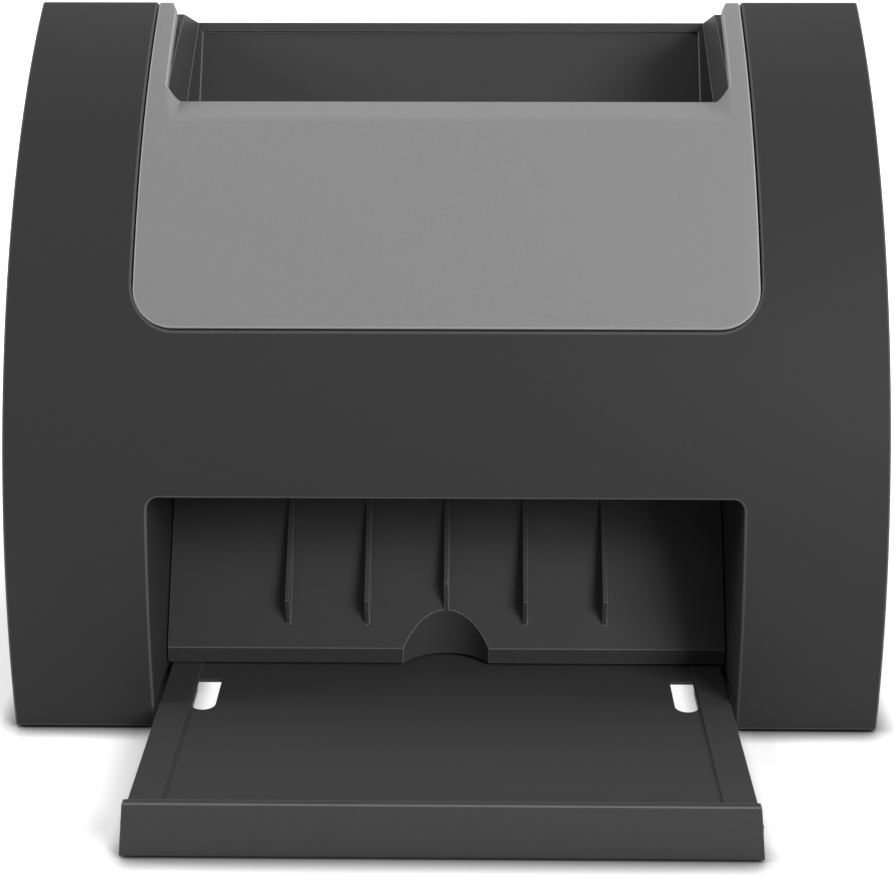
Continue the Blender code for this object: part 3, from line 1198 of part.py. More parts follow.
def gear_outline(teeth, centre, phase):
    """Teeth with involute flanks, thinned by the backlash; phase is the angle of the first tooth."""
    pitch = teeth * GEAR_MODULE / 2
    base = pitch * math.cos(GEAR_PRESSURE_ANGLE)
    root = pitch - GEAR_MODULE * GEAR_DEDENDUM_SHARE
    tip = pitch + GEAR_MODULE * GEAR_ADDENDUM_SHARE
    half_at_pitch = math.pi / (2 * teeth) - GEAR_BACKLASH / (4 * pitch)
    flank = []
    for radius in (root, tip):
        pressure = math.acos(min(1.0, base / max(radius, base)))
        half = half_at_pitch + involute(GEAR_PRESSURE_ANGLE) - involute(pressure)
        flank.append((radius, half))
    points = []
    for tooth in range(teeth):
        middle = phase + math.tau * tooth / teeth
        rising = [(radius, middle - half) for radius, half in flank]
        falling = [(radius, middle + half) for radius, half in reversed(flank)]
        for radius, angle in rising + falling:
            points.append(on_bearing(centre, radius, angle))
    return points


def meshed_phase(centre, teeth, phase, other_centre, other_teeth):
    """The phase at which the other gear's gap meets this gear's tooth."""
    line = Vector(other_centre) - Vector(centre)
    bearing = math.atan2(line.y, line.x)
    offset = (bearing - phase) * teeth / math.tau
    return bearing + math.pi + (offset - 0.5) * math.tau / other_teeth


def gear(name, teeth, centre, phase, bore, body, start=-GEAR_PLANE_OUTER, end=-GEAR_PLANE_INNER):
    outlines = [gear_outline(teeth, centre, phase), circle(centre, bore, SMALL_STEPS)]
    return prism(name, outlines, start, end, ACETAL, body)


def gear_train():
    feed_phase = 0.0
    shaft_bore = SHAFT_RADIUS + GAP
    pin_bore = GEAR_PIN_RADIUS + GAP
    drive_phase = meshed_phase(FEED_AXIS, FEED_GEAR_TEETH, feed_phase, DRIVE_IDLER_AXIS,
                               DRIVE_IDLER_TEETH)
    exit_phase = meshed_phase(DRIVE_IDLER_AXIS, DRIVE_IDLER_TEETH, drive_phase, EXIT_AXIS,
                              EXIT_GEAR_TEETH)
    pick_idler_phase = meshed_phase(FEED_AXIS, FEED_GEAR_TEETH, feed_phase, PICK_IDLER_AXIS,
                                    PICK_IDLER_TEETH)
    pick_phase = meshed_phase(PICK_IDLER_AXIS, PICK_IDLER_TEETH, pick_idler_phase, PICK_AXIS,
                              PICK_GEAR_TEETH)
    small_phase = meshed_phase(DRIVE_IDLER_AXIS, DRIVE_IDLER_TEETH, drive_phase, REDUCTION_AXIS,
                               REDUCTION_SMALL_TEETH)
    pinion_phase = meshed_phase(REDUCTION_AXIS, REDUCTION_LARGE_TEETH, small_phase, MOTOR_AXIS,
                                PINION_TEETH)
    gear("feed_gear", FEED_GEAR_TEETH, FEED_AXIS, feed_phase, shaft_bore, FEED)
    gear("exit_gear", EXIT_GEAR_TEETH, EXIT_AXIS, exit_phase, shaft_bore, EXIT)
    gear("pick_gear", PICK_GEAR_TEETH, PICK_AXIS, pick_phase, shaft_bore, PICK)
    gear("drive_idler", DRIVE_IDLER_TEETH, DRIVE_IDLER_AXIS, drive_phase, pin_bore, DRIVE_IDLER)
    gear("pick_idler", PICK_IDLER_TEETH, PICK_IDLER_AXIS, pick_idler_phase, pin_bore, PICK_IDLER)
    gear("motor_pinion", PINION_TEETH, MOTOR_AXIS, pinion_phase, MOTOR_SHAFT_RADIUS + GAP, ROTOR,
         -REDUCTION_PLANE_OUTER, -REDUCTION_PLANE_INNER)
    large = gear_outline(REDUCTION_LARGE_TEETH, REDUCTION_AXIS, small_phase)
    small = gear_outline(REDUCTION_SMALL_TEETH, REDUCTION_AXIS, small_phase)
    overlap = (REDUCTION_PLANE_OUTER - REDUCTION_PLANE_INNER) / 2
    compound = prism("reduction_gear", [large], -REDUCTION_PLANE_OUTER, -REDUCTION_PLANE_INNER, ACETAL,
                     REDUCTION)
    join(compound, prism("reduction_small", [small], -REDUCTION_PLANE_INNER - overlap,
                         -GEAR_PLANE_INNER, body=REDUCTION))
    cut(compound, prism("reduction_bore", [circle(REDUCTION_AXIS, pin_bore, SMALL_STEPS)],
                        -REDUCTION_PLANE_OUTER - OVERRUN, OVERRUN, body=REDUCTION))


def gear_pins():
    head_back = -FRAME_INNER + GAP
    head_face = head_back + GEAR_PIN_HEAD
    for name, axis, end in (
        ("drive_idler_pin", DRIVE_IDLER_AXIS, -GEAR_PLANE_OUTER),
        ("pick_idler_pin", PICK_IDLER_AXIS, -GEAR_PLANE_OUTER),
        ("reduction_pin", REDUCTION_AXIS, -REDUCTION_PLANE_OUTER),
    ):
        profile = [(head_face, 0.0), (head_face, GEAR_PIN_HEAD_RADIUS),
                   (head_back, GEAR_PIN_HEAD_RADIUS), (head_back, GEAR_PIN_RADIUS),
                   (end, GEAR_PIN_RADIUS), (end, 0.0)]
        turned(name, profile, (0.0, *axis), BRIGHT_STEEL, steps=SMALL_STEPS)


# Motor

def drive_motor():
    face = -FRAME_INNER + GAP
    back = face + MOTOR_LENGTH
    boss_end = -FRAME_OUTER - GAP
    hole = MOTOR_SHAFT_RADIUS + GAP
    seat = face + MOTOR_SHAFT_SEAT
    can = [(back, 0.0), (back, MOTOR_RADIUS), (face, MOTOR_RADIUS), (face, MOTOR_BOSS_RADIUS),
           (boss_end, MOTOR_BOSS_RADIUS), (boss_end, hole), (seat, hole), (seat, 0.0)]
    turned("drive_motor", can, (0.0, *MOTOR_AXIS), ZINC_STEEL, steps=ROLLER_STEPS)
    start = seat - GAP
    shaft = [(start, 0.0), (start, MOTOR_SHAFT_RADIUS), (-REDUCTION_PLANE_OUTER, MOTOR_SHAFT_RADIUS),
             (-REDUCTION_PLANE_OUTER, 0.0)]
    turned("motor_shaft", shaft, (0.0, *MOTOR_AXIS), BRIGHT_STEEL, ROTOR, steps=SMALL_STEPS)


# Main board with its two sockets, which reach through the rear cover

def board_holes():
    low = BOARD_BOTTOM + BOARD_HOLE_INSET
    high = BOARD_TOP - BOARD_HOLE_INSET
    front = FRAME_FRONT + BOARD_HOLE_INSET
    rear = BOARD_REAR - BOARD_HOLE_INSET * 2
    return [(front, low), (rear, low), (front + BOARD_HOLE_SETBACK, high), (rear, high)]


def main_board():
    outline = rectangle(BOARD_FRONT, BOARD_REAR, BOARD_BOTTOM, BOARD_TOP)
    holes = [circle(place_yz, SCREW_RADIUS, SMALL_STEPS) for place_yz in board_holes()]
    prism("main_board", [outline] + holes, BOARD_INNER, BOARD_INNER + BOARD_THICKNESS, BOARD_GREEN)


def sockets():
    rear = BODY_DEPTH - SOCKET_RECESS
    left, right = usb_span()
    usb = prism("usb_socket", [rectangle(left, right, USB_BOTTOM, USB_BOTTOM + USB_HEIGHT)],
                USB_FRONT, rear, SOCKET_METAL, along="Y")
    cavity = rectangle(left + USB_WALL, right - USB_WALL, USB_BOTTOM + USB_WALL,
                       USB_BOTTOM + USB_HEIGHT - USB_WALL)
    cut(usb, prism("usb_cavity", [cavity], rear - USB_CAVITY_DEPTH, rear + OVERRUN, along="Y"))
    left, right = power_span()
    power = prism("power_socket", [rectangle(left, right, POWER_BOTTOM, POWER_BOTTOM + POWER_HEIGHT)],
                  POWER_FRONT, rear, SOCKET_PLASTIC, along="Y")
    middle = ((left + right) / 2, POWER_BOTTOM + POWER_HEIGHT / 2)
    cut(power, prism("power_bore", [circle(middle, POWER_BORE_RADIUS)],
                     rear - POWER_CAVITY_DEPTH, rear + OVERRUN, along="Y"))


# Shading: round faces smooth, edges sharp

def shade_pieces():
    depsgraph = bpy.context.evaluated_depsgraph_get()
    for piece in [item for item in PARTS.objects if item.type == "MESH"]:
        mesh = bpy.data.meshes.new_from_object(piece.evaluated_get(depsgraph))
        mesh.name = piece.name
        mesh.shade_smooth()
        mesh.set_sharp_from_angle(angle=SHARP_ANGLE)
        piece.modifiers.clear()
        piece.data = mesh


outer_shell()
base_plate()
rear_cover()
feet()
base_screws()
output_tray()
exit_chute()
exit_guide()
hinge_pins()
hopper()
front_cover()
cover_frame()
separation_pad()
scanning_units()
side_frames()
shaft_bushes()
rollers()
gear_train()
gear_pins()
drive_motor()
main_board()
sockets()
shade_pieces()
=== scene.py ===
# %% [markdown]
# # A desktop card scanner
# The real object is a small office machine: two black moulded side cheeks, a grey cover that hinges
# forward, a hopper that cards stand in, and a short tray that catches them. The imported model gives
# every piece its true place and size, so the scene only has to give each one its finished form and
# surface. We load that model first, because everything after it is measured from it.

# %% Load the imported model
import math

import bmesh
import bpy
from mathutils import Euler, Matrix, Vector


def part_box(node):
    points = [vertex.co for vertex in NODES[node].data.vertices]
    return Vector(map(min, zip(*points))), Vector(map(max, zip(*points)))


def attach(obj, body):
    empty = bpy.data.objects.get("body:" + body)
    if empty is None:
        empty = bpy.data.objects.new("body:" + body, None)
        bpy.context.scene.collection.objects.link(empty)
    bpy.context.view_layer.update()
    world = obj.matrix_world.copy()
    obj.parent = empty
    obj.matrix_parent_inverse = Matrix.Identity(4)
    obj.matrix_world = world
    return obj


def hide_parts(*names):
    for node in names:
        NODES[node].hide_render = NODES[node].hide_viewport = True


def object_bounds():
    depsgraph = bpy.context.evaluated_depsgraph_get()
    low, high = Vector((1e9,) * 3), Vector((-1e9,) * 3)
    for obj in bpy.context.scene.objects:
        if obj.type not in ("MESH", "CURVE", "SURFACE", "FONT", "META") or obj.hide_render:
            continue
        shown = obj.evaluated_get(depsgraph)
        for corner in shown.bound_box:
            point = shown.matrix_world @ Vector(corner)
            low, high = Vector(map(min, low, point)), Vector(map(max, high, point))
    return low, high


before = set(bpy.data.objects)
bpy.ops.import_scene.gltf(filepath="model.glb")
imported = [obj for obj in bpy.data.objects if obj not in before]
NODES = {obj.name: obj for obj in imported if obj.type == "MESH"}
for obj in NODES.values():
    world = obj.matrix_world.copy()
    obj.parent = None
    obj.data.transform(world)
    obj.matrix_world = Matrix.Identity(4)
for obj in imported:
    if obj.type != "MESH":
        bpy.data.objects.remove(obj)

MODEL_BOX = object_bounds()
MM = 0.001
size_mm = [round((high - low) / MM, 1) for low, high in zip(*MODEL_BOX)]
print(f"{len(NODES)} solids, {size_mm} mm overall")

# %% [markdown]
# ## Helpers for materials
# Colours are easiest to pick as the hex values that a screen shows, but the shader wants linear
# light, so one function turns the first into the second. Another adds a node, gives it its
# settings, and either sets or links each of its inputs. The third starts a material with nothing
# in its tree. Every material below is made with these three.

# %% Colour and node helpers
def linear(hex_colour):
    """A screen colour such as 3A3B3C as linear red, green, blue and alpha."""
    channels = []
    for place in (0, 2, 4):
        value = int(hex_colour[place:place + 2], 16) / 255
        if value <= 0.04045:
            channels.append(value / 12.92)
        else:
            channels.append(((value + 0.055) / 1.055) ** 2.4)
    return (*channels, 1.0)


def add_node(tree, kind, inputs=None, **settings):
    """One node with its settings; an input is a value, or another node's output to link."""
    node = tree.nodes.new(kind)
    for name, value in settings.items():
        setattr(node, name, value)
    for key, value in (inputs or {}).items():
        if isinstance(value, bpy.types.NodeSocket):
            tree.links.new(value, node.inputs[key])
        else:
            node.inputs[key].default_value = value
    return node


def blank_material(name):
    """A new material and its node tree, which is still empty."""
    material = bpy.data.materials.new(name)
    material.use_nodes = True
    material.node_tree.nodes.clear()
    return material, material.node_tree


print("mid grey is", round(linear("8E8E8E")[0], 3), "in linear light")

# %% [markdown]
# ## Moulded ABS
# The cheeks, tray and chute are injection-moulded ABS from a spark-eroded steel mould. That mould
# leaves a fine, even grain about a third of a millimetre across, which breaks up reflections and
# makes the plastic look satin instead of shiny. The grain is a noise texture that drives a bump. A
# second, wider noise shifts the roughness by a few percent, as the flow of the melt does, and a
# third lightens the colour very slightly. All of them read Object coordinates, so their scale is
# a real size. Along the rounded edges each plastic gets a second, paler colour: a painted highlight,
# the thin bright line that light draws along a moulded edge. A mesh says which faces they are in an
# attribute, which is written further down.

# %% Satin moulded plastic
GRAIN_SIZE = 0.34 * MM
GRAIN_HEIGHT = 0.016 * MM
SPECKLE_WIDER = 2.3
FLOW_SIZE = 24 * MM
ABS_IOR = 1.54
# The pits of the grain swallow much of the reflection that polished ABS would show
MATT_SPECULAR = 0.125


def moulded_plastic(name, colour, pale_colour, highlight_colour, roughness,
                    grain_height=GRAIN_HEIGHT, grain=GRAIN_SIZE):
    """Injection-moulded plastic: the grain scatters its gloss, and a paler highlight is painted on
    its edges.
    """
    material, tree = blank_material(name)
    place = add_node(tree, "ShaderNodeTexCoord").outputs["Object"]
    grain_noise = add_node(tree, "ShaderNodeTexNoise", {
        "Vector": place, "Scale": 1 / grain, "Detail": 2.0, "Roughness": 0.6,
    })
    flow_noise = add_node(tree, "ShaderNodeTexNoise", {
        "Vector": place, "Scale": 1 / FLOW_SIZE, "Detail": 3.0, "Roughness": 0.5,
    })
    speckle = add_node(tree, "ShaderNodeTexNoise", {
        "Vector": place, "Scale": 1 / (grain * SPECKLE_WIDER), "Detail": 1.0,
    })
    shade = add_node(tree, "ShaderNodeMix", {
        0: speckle.outputs["Fac"], 6: linear(colour), 7: linear(pale_colour),
    }, data_type="RGBA")
    # A painted highlight: the faces of a rounded edge are mixed towards a paler colour
    edge_highlight = add_node(tree, "ShaderNodeAttribute", attribute_name="painted_edge_highlight")
    tone = add_node(tree, "ShaderNodeMix", {
        0: edge_highlight.outputs["Fac"], 6: shade.outputs[2], 7: linear(highlight_colour),
    }, data_type="RGBA")
    polish = add_node(tree, "ShaderNodeMapRange", {
        "Value": flow_noise.outputs["Fac"], "From Min": 0.3, "From Max": 0.7,
        "To Min": roughness - 0.01, "To Max": roughness + 0.02,
    })
    relief = add_node(tree, "ShaderNodeBump", {
        "Height": grain_noise.outputs["Fac"], "Strength": 0.5, "Distance": grain_height,
    })
    shader = add_node(tree, "ShaderNodeBsdfPrincipled", {
        "Base Color": tone.outputs[2], "Roughness": polish.outputs["Result"],
        "Normal": relief.outputs["Normal"], "IOR": ABS_IOR, "Specular IOR Level": MATT_SPECULAR,
    })
    add_node(tree, "ShaderNodeOutputMaterial", {"Surface": shader.outputs["BSDF"]})
    return material


# Black ABS, fine grain: a soft charcoal that never quite reaches black in the light
BLACK_ABS = moulded_plastic("black_moulded_abs", "292929", "2D2D2D", "484848", 0.52)
# The same ABS on the sliding pieces, with a slightly coarser grain that hides scratches from cards.
# Its colour is lighter than the shell's: partly a paler moulding, partly painted light that makes up
# for the light the hopper and chute get too little of in the recess
TRAY_ABS = moulded_plastic("black_tray_abs", "383838", "3C3C3C", "5E5E5E", 0.48, grain=0.5 * MM)
# Grey ABS of the hinged cover: a plain mid grey, its grain just soft enough to spread the lamp
GREY_ABS = moulded_plastic("grey_moulded_abs", "7A7A7A", "808080", "959595", 0.5)
# Unpainted inner mouldings: the mould is smoother inside, so they look darker and a little glossier
DARK_ABS = moulded_plastic("inner_moulded_abs", "1C1D1E", "242526", "303030", 0.42, 0.006 * MM)
# Glass-filled nylon of the power inlet: deep black with faint pale fibres
SOCKET_NYLON = moulded_plastic("glass_filled_nylon", "121212", "1C1C1C", "242424", 0.5)
print("five moulded plastics, grain", round(GRAIN_SIZE / MM, 2), "mm")

# %% [markdown]
# ## Acetal and rubber
# Gears and pinch rollers are acetal, a milky, slightly waxy white, which a little subsurface
# scattering shows. The tyres and feet are rubber. Ground rubber has no clean highlight at all,
# so its roughness is high and its bump coarse.

# %% Acetal and rubber
STREAK_SIZE = 6 * MM
TEAR_DEPTH = 0.05 * MM


def waxy_acetal(name, colour):
    """Moulded acetal: milky white, with soft light inside its edges and a faint gloss."""
    material, tree = blank_material(name)
    place = add_node(tree, "ShaderNodeTexCoord").outputs["Object"]
    flow = add_node(tree, "ShaderNodeTexNoise", {
        "Vector": place, "Scale": 1 / STREAK_SIZE, "Detail": 2.0,
    })
    polish = add_node(tree, "ShaderNodeMapRange", {
        "Value": flow.outputs["Fac"], "To Min": 0.28, "To Max": 0.42,
    })
    shader = add_node(tree, "ShaderNodeBsdfPrincipled", {
        "Base Color": linear(colour), "Roughness": polish.outputs["Result"], "IOR": 1.48,
        "Subsurface Weight": 0.15, "Subsurface Scale": 0.6 * MM,
    })
    add_node(tree, "ShaderNodeOutputMaterial", {"Surface": shader.outputs["BSDF"]})
    return material


def ground_rubber(name, colour, pale_colour, grit):
    """Ground rubber: matt, dusty where the grit has torn it, with no clean highlight."""
    material, tree = blank_material(name)
    place = add_node(tree, "ShaderNodeTexCoord").outputs["Object"]
    tears = add_node(tree, "ShaderNodeTexNoise", {
        "Vector": place, "Scale": 1 / grit, "Detail": 4.0, "Roughness": 0.7,
    })
    shade = add_node(tree, "ShaderNodeMix", {
        0: tears.outputs["Fac"], 6: linear(colour), 7: linear(pale_colour),
    }, data_type="RGBA")
    relief = add_node(tree, "ShaderNodeBump", {
        "Height": tears.outputs["Fac"], "Strength": 0.6, "Distance": TEAR_DEPTH,
    })
    shader = add_node(tree, "ShaderNodeBsdfPrincipled", {
        "Base Color": shade.outputs[2], "Roughness": 0.85, "Normal": relief.outputs["Normal"],
        "IOR": 1.52,
    })
    add_node(tree, "ShaderNodeOutputMaterial", {"Surface": shader.outputs["BSDF"]})
    return material


ACETAL = waxy_acetal("natural_acetal", "E4E1D8")
TYRE_RUBBER = ground_rubber("grey_epdm_tyre", "4A4B4E", "5E5F62", 0.4 * MM)
FOOT_RUBBER = ground_rubber("black_foot_rubber", "191919", "262626", 0.6 * MM)
PAD_RUBBER = ground_rubber("cork_filled_pad", "8A4E33", "A86B48", 0.7 * MM)
print("acetal and three rubbers")

# %% [markdown]
# ## Metals
# The side frames are zinc-plated sheet, whose crystals scatter light in small flat patches, so a
# Voronoi pattern changes the roughness from patch to patch. Shafts are ground bright, which leaves
# rings round them: noise stretched along the shaft's own direction gives those. Bronze bushes are
# pressed from powder and have open pores.

# %% Metals
RING_WIDTH = 0.25 * MM
RING_DEPTH = 0.004 * MM
PORE_SIZE = 0.3 * MM


def plated_sheet(name, colour, spangle):
    """Zinc-plated steel sheet: cool grey, in patches of slightly different polish."""
    material, tree = blank_material(name)
    place = add_node(tree, "ShaderNodeTexCoord").outputs["Object"]
    crystals = add_node(tree, "ShaderNodeTexVoronoi", {"Vector": place, "Scale": 1 / spangle})
    polish = add_node(tree, "ShaderNodeMapRange", {
        "Value": crystals.outputs["Color"], "To Min": 0.28, "To Max": 0.46,
    })
    shader = add_node(tree, "ShaderNodeBsdfPrincipled", {
        "Base Color": linear(colour), "Metallic": 1.0, "Roughness": polish.outputs["Result"],
    })
    add_node(tree, "ShaderNodeOutputMaterial", {"Surface": shader.outputs["BSDF"]})
    return material


def ground_steel(name, colour, roughness):
    """Ground steel bar: bright, with fine rings left by the wheel."""
    material, tree = blank_material(name)
    place = add_node(tree, "ShaderNodeTexCoord").outputs["Object"]
    along_bar = add_node(tree, "ShaderNodeMapping", {"Vector": place, "Scale": (1.0, 0.02, 0.02)})
    rings = add_node(tree, "ShaderNodeTexNoise", {
        "Vector": along_bar.outputs["Vector"], "Scale": 1 / RING_WIDTH, "Detail": 3.0,
    })
    relief = add_node(tree, "ShaderNodeBump", {
        "Height": rings.outputs["Fac"], "Strength": 0.35, "Distance": RING_DEPTH,
    })
    shader = add_node(tree, "ShaderNodeBsdfPrincipled", {
        "Base Color": linear(colour), "Metallic": 1.0, "Roughness": roughness,
        "Normal": relief.outputs["Normal"],
    })
    add_node(tree, "ShaderNodeOutputMaterial", {"Surface": shader.outputs["BSDF"]})
    return material


def porous_bronze(name, colour, dark_colour):
    """Sintered bronze: warm and dull, peppered with oil-filled pores."""
    material, tree = blank_material(name)
    place = add_node(tree, "ShaderNodeTexCoord").outputs["Object"]
    pores = add_node(tree, "ShaderNodeTexVoronoi", {"Vector": place, "Scale": 1 / PORE_SIZE})
    depth = add_node(tree, "ShaderNodeMapRange", {
        "Value": pores.outputs["Distance"], "From Min": 0.1, "From Max": 0.3,
    })
    shade = add_node(tree, "ShaderNodeMix", {
        0: depth.outputs["Result"], 6: linear(dark_colour), 7: linear(colour),
    }, data_type="RGBA")
    shader = add_node(tree, "ShaderNodeBsdfPrincipled", {
        "Base Color": shade.outputs[2], "Metallic": 1.0, "Roughness": 0.45,
    })
    add_node(tree, "ShaderNodeOutputMaterial", {"Surface": shader.outputs["BSDF"]})
    return material


ZINC_SHEET = plated_sheet("zinc_plated_sheet", "B9BBBC", 1.5 * MM)
BRIGHT_STEEL = ground_steel("ground_steel", "C6C6C8", 0.2)
SPRING_STRIP = ground_steel("spring_strip", "A9ABAF", 0.3)
TINNED_STEEL = ground_steel("tinned_steel", "C9C9C6", 0.28)
GOLD_FLASH = ground_steel("gold_flashed_contact", "D9B65A", 0.22)
BRONZE = porous_bronze("sintered_bronze", "B28A55", "5A4226")
print("six metals")

# %% [markdown]
# ## Glass and circuit board
# Each scanning unit looks through a strip of float glass. The board is woven glass cloth under
# green solder resist; its copper tracks run in straight lines on a grid, which a brick pattern
# gives at the real pitch.

# %% Glass and board
WAVE_LENGTH = 30 * MM
WAVE_DEPTH = 0.02 * MM
TRACK_SHARE = 0.12
TRACK_RUN = 6


def float_glass(name):
    """Float glass: clear, with the faint green of its iron."""
    material, tree = blank_material(name)
    place = add_node(tree, "ShaderNodeTexCoord").outputs["Object"]
    waves = add_node(tree, "ShaderNodeTexNoise", {
        "Vector": place, "Scale": 1 / WAVE_LENGTH, "Detail": 1.0,
    })
    relief = add_node(tree, "ShaderNodeBump", {
        "Height": waves.outputs["Fac"], "Strength": 0.1, "Distance": WAVE_DEPTH,
    })
    shader = add_node(tree, "ShaderNodeBsdfPrincipled", {
        "Base Color": linear("EAF3EF"), "Roughness": 0.02, "IOR": 1.52,
        "Transmission Weight": 1.0, "Normal": relief.outputs["Normal"],
    })
    add_node(tree, "ShaderNodeOutputMaterial", {"Surface": shader.outputs["BSDF"]})
    return material


def solder_resist(name, colour, track_colour, pitch):
    """Solder resist over copper: glossy green, paler where a track lies under it."""
    material, tree = blank_material(name)
    place = add_node(tree, "ShaderNodeTexCoord").outputs["Object"]
    face = add_node(tree, "ShaderNodeMapping", {
        "Vector": place, "Rotation": (0.0, math.radians(90), 0.0),
    })
    tracks = add_node(tree, "ShaderNodeTexBrick", {
        "Vector": face.outputs["Vector"], "Color1": linear(colour), "Color2": linear(colour),
        "Mortar": linear(track_colour), "Scale": 1.0, "Mortar Size": pitch * TRACK_SHARE,
        "Brick Width": pitch * TRACK_RUN, "Row Height": pitch,
    })
    shader = add_node(tree, "ShaderNodeBsdfPrincipled", {
        "Base Color": tracks.outputs["Color"], "Roughness": 0.3, "IOR": 1.5,
    })
    add_node(tree, "ShaderNodeOutputMaterial", {"Surface": shader.outputs["BSDF"]})
    return material


GLASS = float_glass("float_glass")
BOARD = solder_resist("green_solder_resist", "12502C", "2C7A48", 1.27 * MM)
print("glass and board")

# %% [markdown]
# ## Finishes for the solids that stay as they are
# Most inner pieces already have their final form: gears with involute teeth, shafts, bushes and
# frames. They only need their material. A table from the ending of a name to a finish keeps that
# short, and where two endings fit a name, the longer one holds.

# %% Give the inner solids their finish
FINISHES = {
    "_gear": ACETAL, "_idler": ACETAL, "motor_pinion": ACETAL, "pinch_roller": ACETAL,
    "pad_holder": ACETAL, "_shaft": BRIGHT_STEEL, "_pin": BRIGHT_STEEL,
    "hinge_pin_left": BRIGHT_STEEL, "hinge_pin_right": BRIGHT_STEEL, "_bush_left": BRONZE,
    "_bush_right": BRONZE, "frame_left": ZINC_SHEET, "frame_right": ZINC_SHEET,
    "drive_motor": ZINC_SHEET,
    "scan_glass_front": GLASS, "scan_glass_rear": GLASS, "scan_unit_front": DARK_ABS,
    "scan_unit_rear": DARK_ABS, "pad_spring": SPRING_STRIP, "separation_pad": PAD_RUBBER,
    "main_board": BOARD, "usb_socket": TINNED_STEEL, "power_socket": SOCKET_NYLON,
}


def finish_solid(solid, material):
    """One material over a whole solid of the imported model."""
    solid.data.materials.clear()
    solid.data.materials.append(material)


finished = 0
for name, solid in NODES.items():
    endings = [ending for ending in FINISHES if name.endswith(ending)]
    if endings:
        finish_solid(solid, FINISHES[max(endings, key=len)])
        finished += 1
print(finished, "solids finished as they are")

# %% [markdown]
# ## Soft edges
# No moulded edge is truly sharp: the mould's own corners are rounded by a few tenths of a
# millimetre, and the thin bright line along an edge is what tells the eye that it looks at plastic.
# For the pieces that show, we take a copy of the solid, weld its loose triangles and join them in
# pairs, because a bevel works best on four-sided faces. The bevel then rounds every real edge, and
# the weighted normals let the large flat faces rule the shading, so that they stay truly flat. The
# faces that the bevel makes ask for the second material slot, which most pieces don't have, so
# there they keep the first. The next step uses it to find the faces that get a painted highlight.

# %% A softened copy of a solid
WELD = 0.002 * MM
FLAT = math.radians(0.5)
ANY_SHAPE = math.radians(180)
EDGE_ANGLE = math.radians(28)
SHADE_ANGLE = math.radians(32)


def welded_copy(node):
    """The solid's mesh with its triangles welded, and joined in pairs where they lie flat."""
    shape = bmesh.new()
    shape.from_mesh(NODES[node].data)
    bmesh.ops.remove_doubles(shape, verts=shape.verts, dist=WELD)
    bmesh.ops.join_triangles(shape, faces=shape.faces, angle_face_threshold=FLAT,
                             angle_shape_threshold=ANY_SHAPE)
    return shape


def new_piece(name, shape, material):
    """A scene object from a bmesh, shaded smooth up to its edges."""
    mesh = bpy.data.meshes.new(name)
    shape.to_mesh(mesh)
    shape.free()
    mesh.materials.append(material)
    mesh.shade_smooth()
    mesh.set_sharp_from_angle(angle=SHADE_ANGLE)
    piece = bpy.data.objects.new(name, mesh)
    bpy.context.scene.collection.objects.link(piece)
    return piece


def soften(piece, width, segments=2):
    """Rounds the piece's edges by a real radius, and keeps its flat faces flat."""
    bevel = piece.modifiers.new("soft_edges", "BEVEL")
    bevel.width = width
    bevel.segments = segments
    bevel.limit_method = "ANGLE"
    bevel.angle_limit = EDGE_ANGLE
    bevel.use_clamp_overlap = False
    bevel.loop_slide = False
    bevel.miter_outer = "MITER_ARC"
    bevel.material = 1
    even = piece.modifiers.new("flat_faces", "WEIGHTED_NORMAL")
    even.keep_sharp = False
    return piece


def hand_over(piece, body, slot, *nodes):
    """The piece moves with its body and stands for the solids that it replaces."""
    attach(piece, body)
    if nodes:
        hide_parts(*nodes)
    return piece


def dressed(node, body, material, slot, width, segments=2):
    """The soft-edged copy that stands for one solid."""
    piece = new_piece(node + "_moulding", welded_copy(node), material)
    return hand_over(soften(piece, width, segments), body, slot, node)


print("edges sharper than", round(math.degrees(EDGE_ANGLE)), "degrees are rounded")

# %% [markdown]
# ## The front curve and the painted edge highlights
# The front of the body is part of a large cylinder, and the grey cover follows the same curve. The
# imported solids approach it with facets about five millimetres high. Their edges are too flat to
# see, but the way light glides over them would show a faint band at each. We know the true curve,
# so every corner that lies on it is told to shade with the direction of the curve itself. In the
# same way the corners of each large flat face are told to shade flat. The same function writes the
# attribute for the painted edge highlight: for a moment the piece gets its plastic a second time,
# the faces of the bevel take that slot, and once they are noted the slot is dropped again. The
# material mixes a paler colour into those faces, a highlight painted along the rounded edges.

# %% True shading and rubbed edges
FRONT_RADIUS = 143.1 * MM
CENTRE_HEIGHT = 6.5 * MM
ON_CURVE = 0.05 * MM
NEAR_CURVE = math.cos(math.radians(15))
LARGE_FLAT = (5 * MM)**2

shell_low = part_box("outer_shell")[0]
CURVE_CENTRE = Vector((0.0, shell_low[1] + FRONT_RADIUS, shell_low[2] + CENTRE_HEIGHT))


def from_axis(place):
    """The straight way from the curve's axis to a place, and its length."""
    way = Vector((0.0, place.y - CURVE_CENTRE.y, place.z - CURVE_CENTRE.z))
    return way.normalized(), way.length


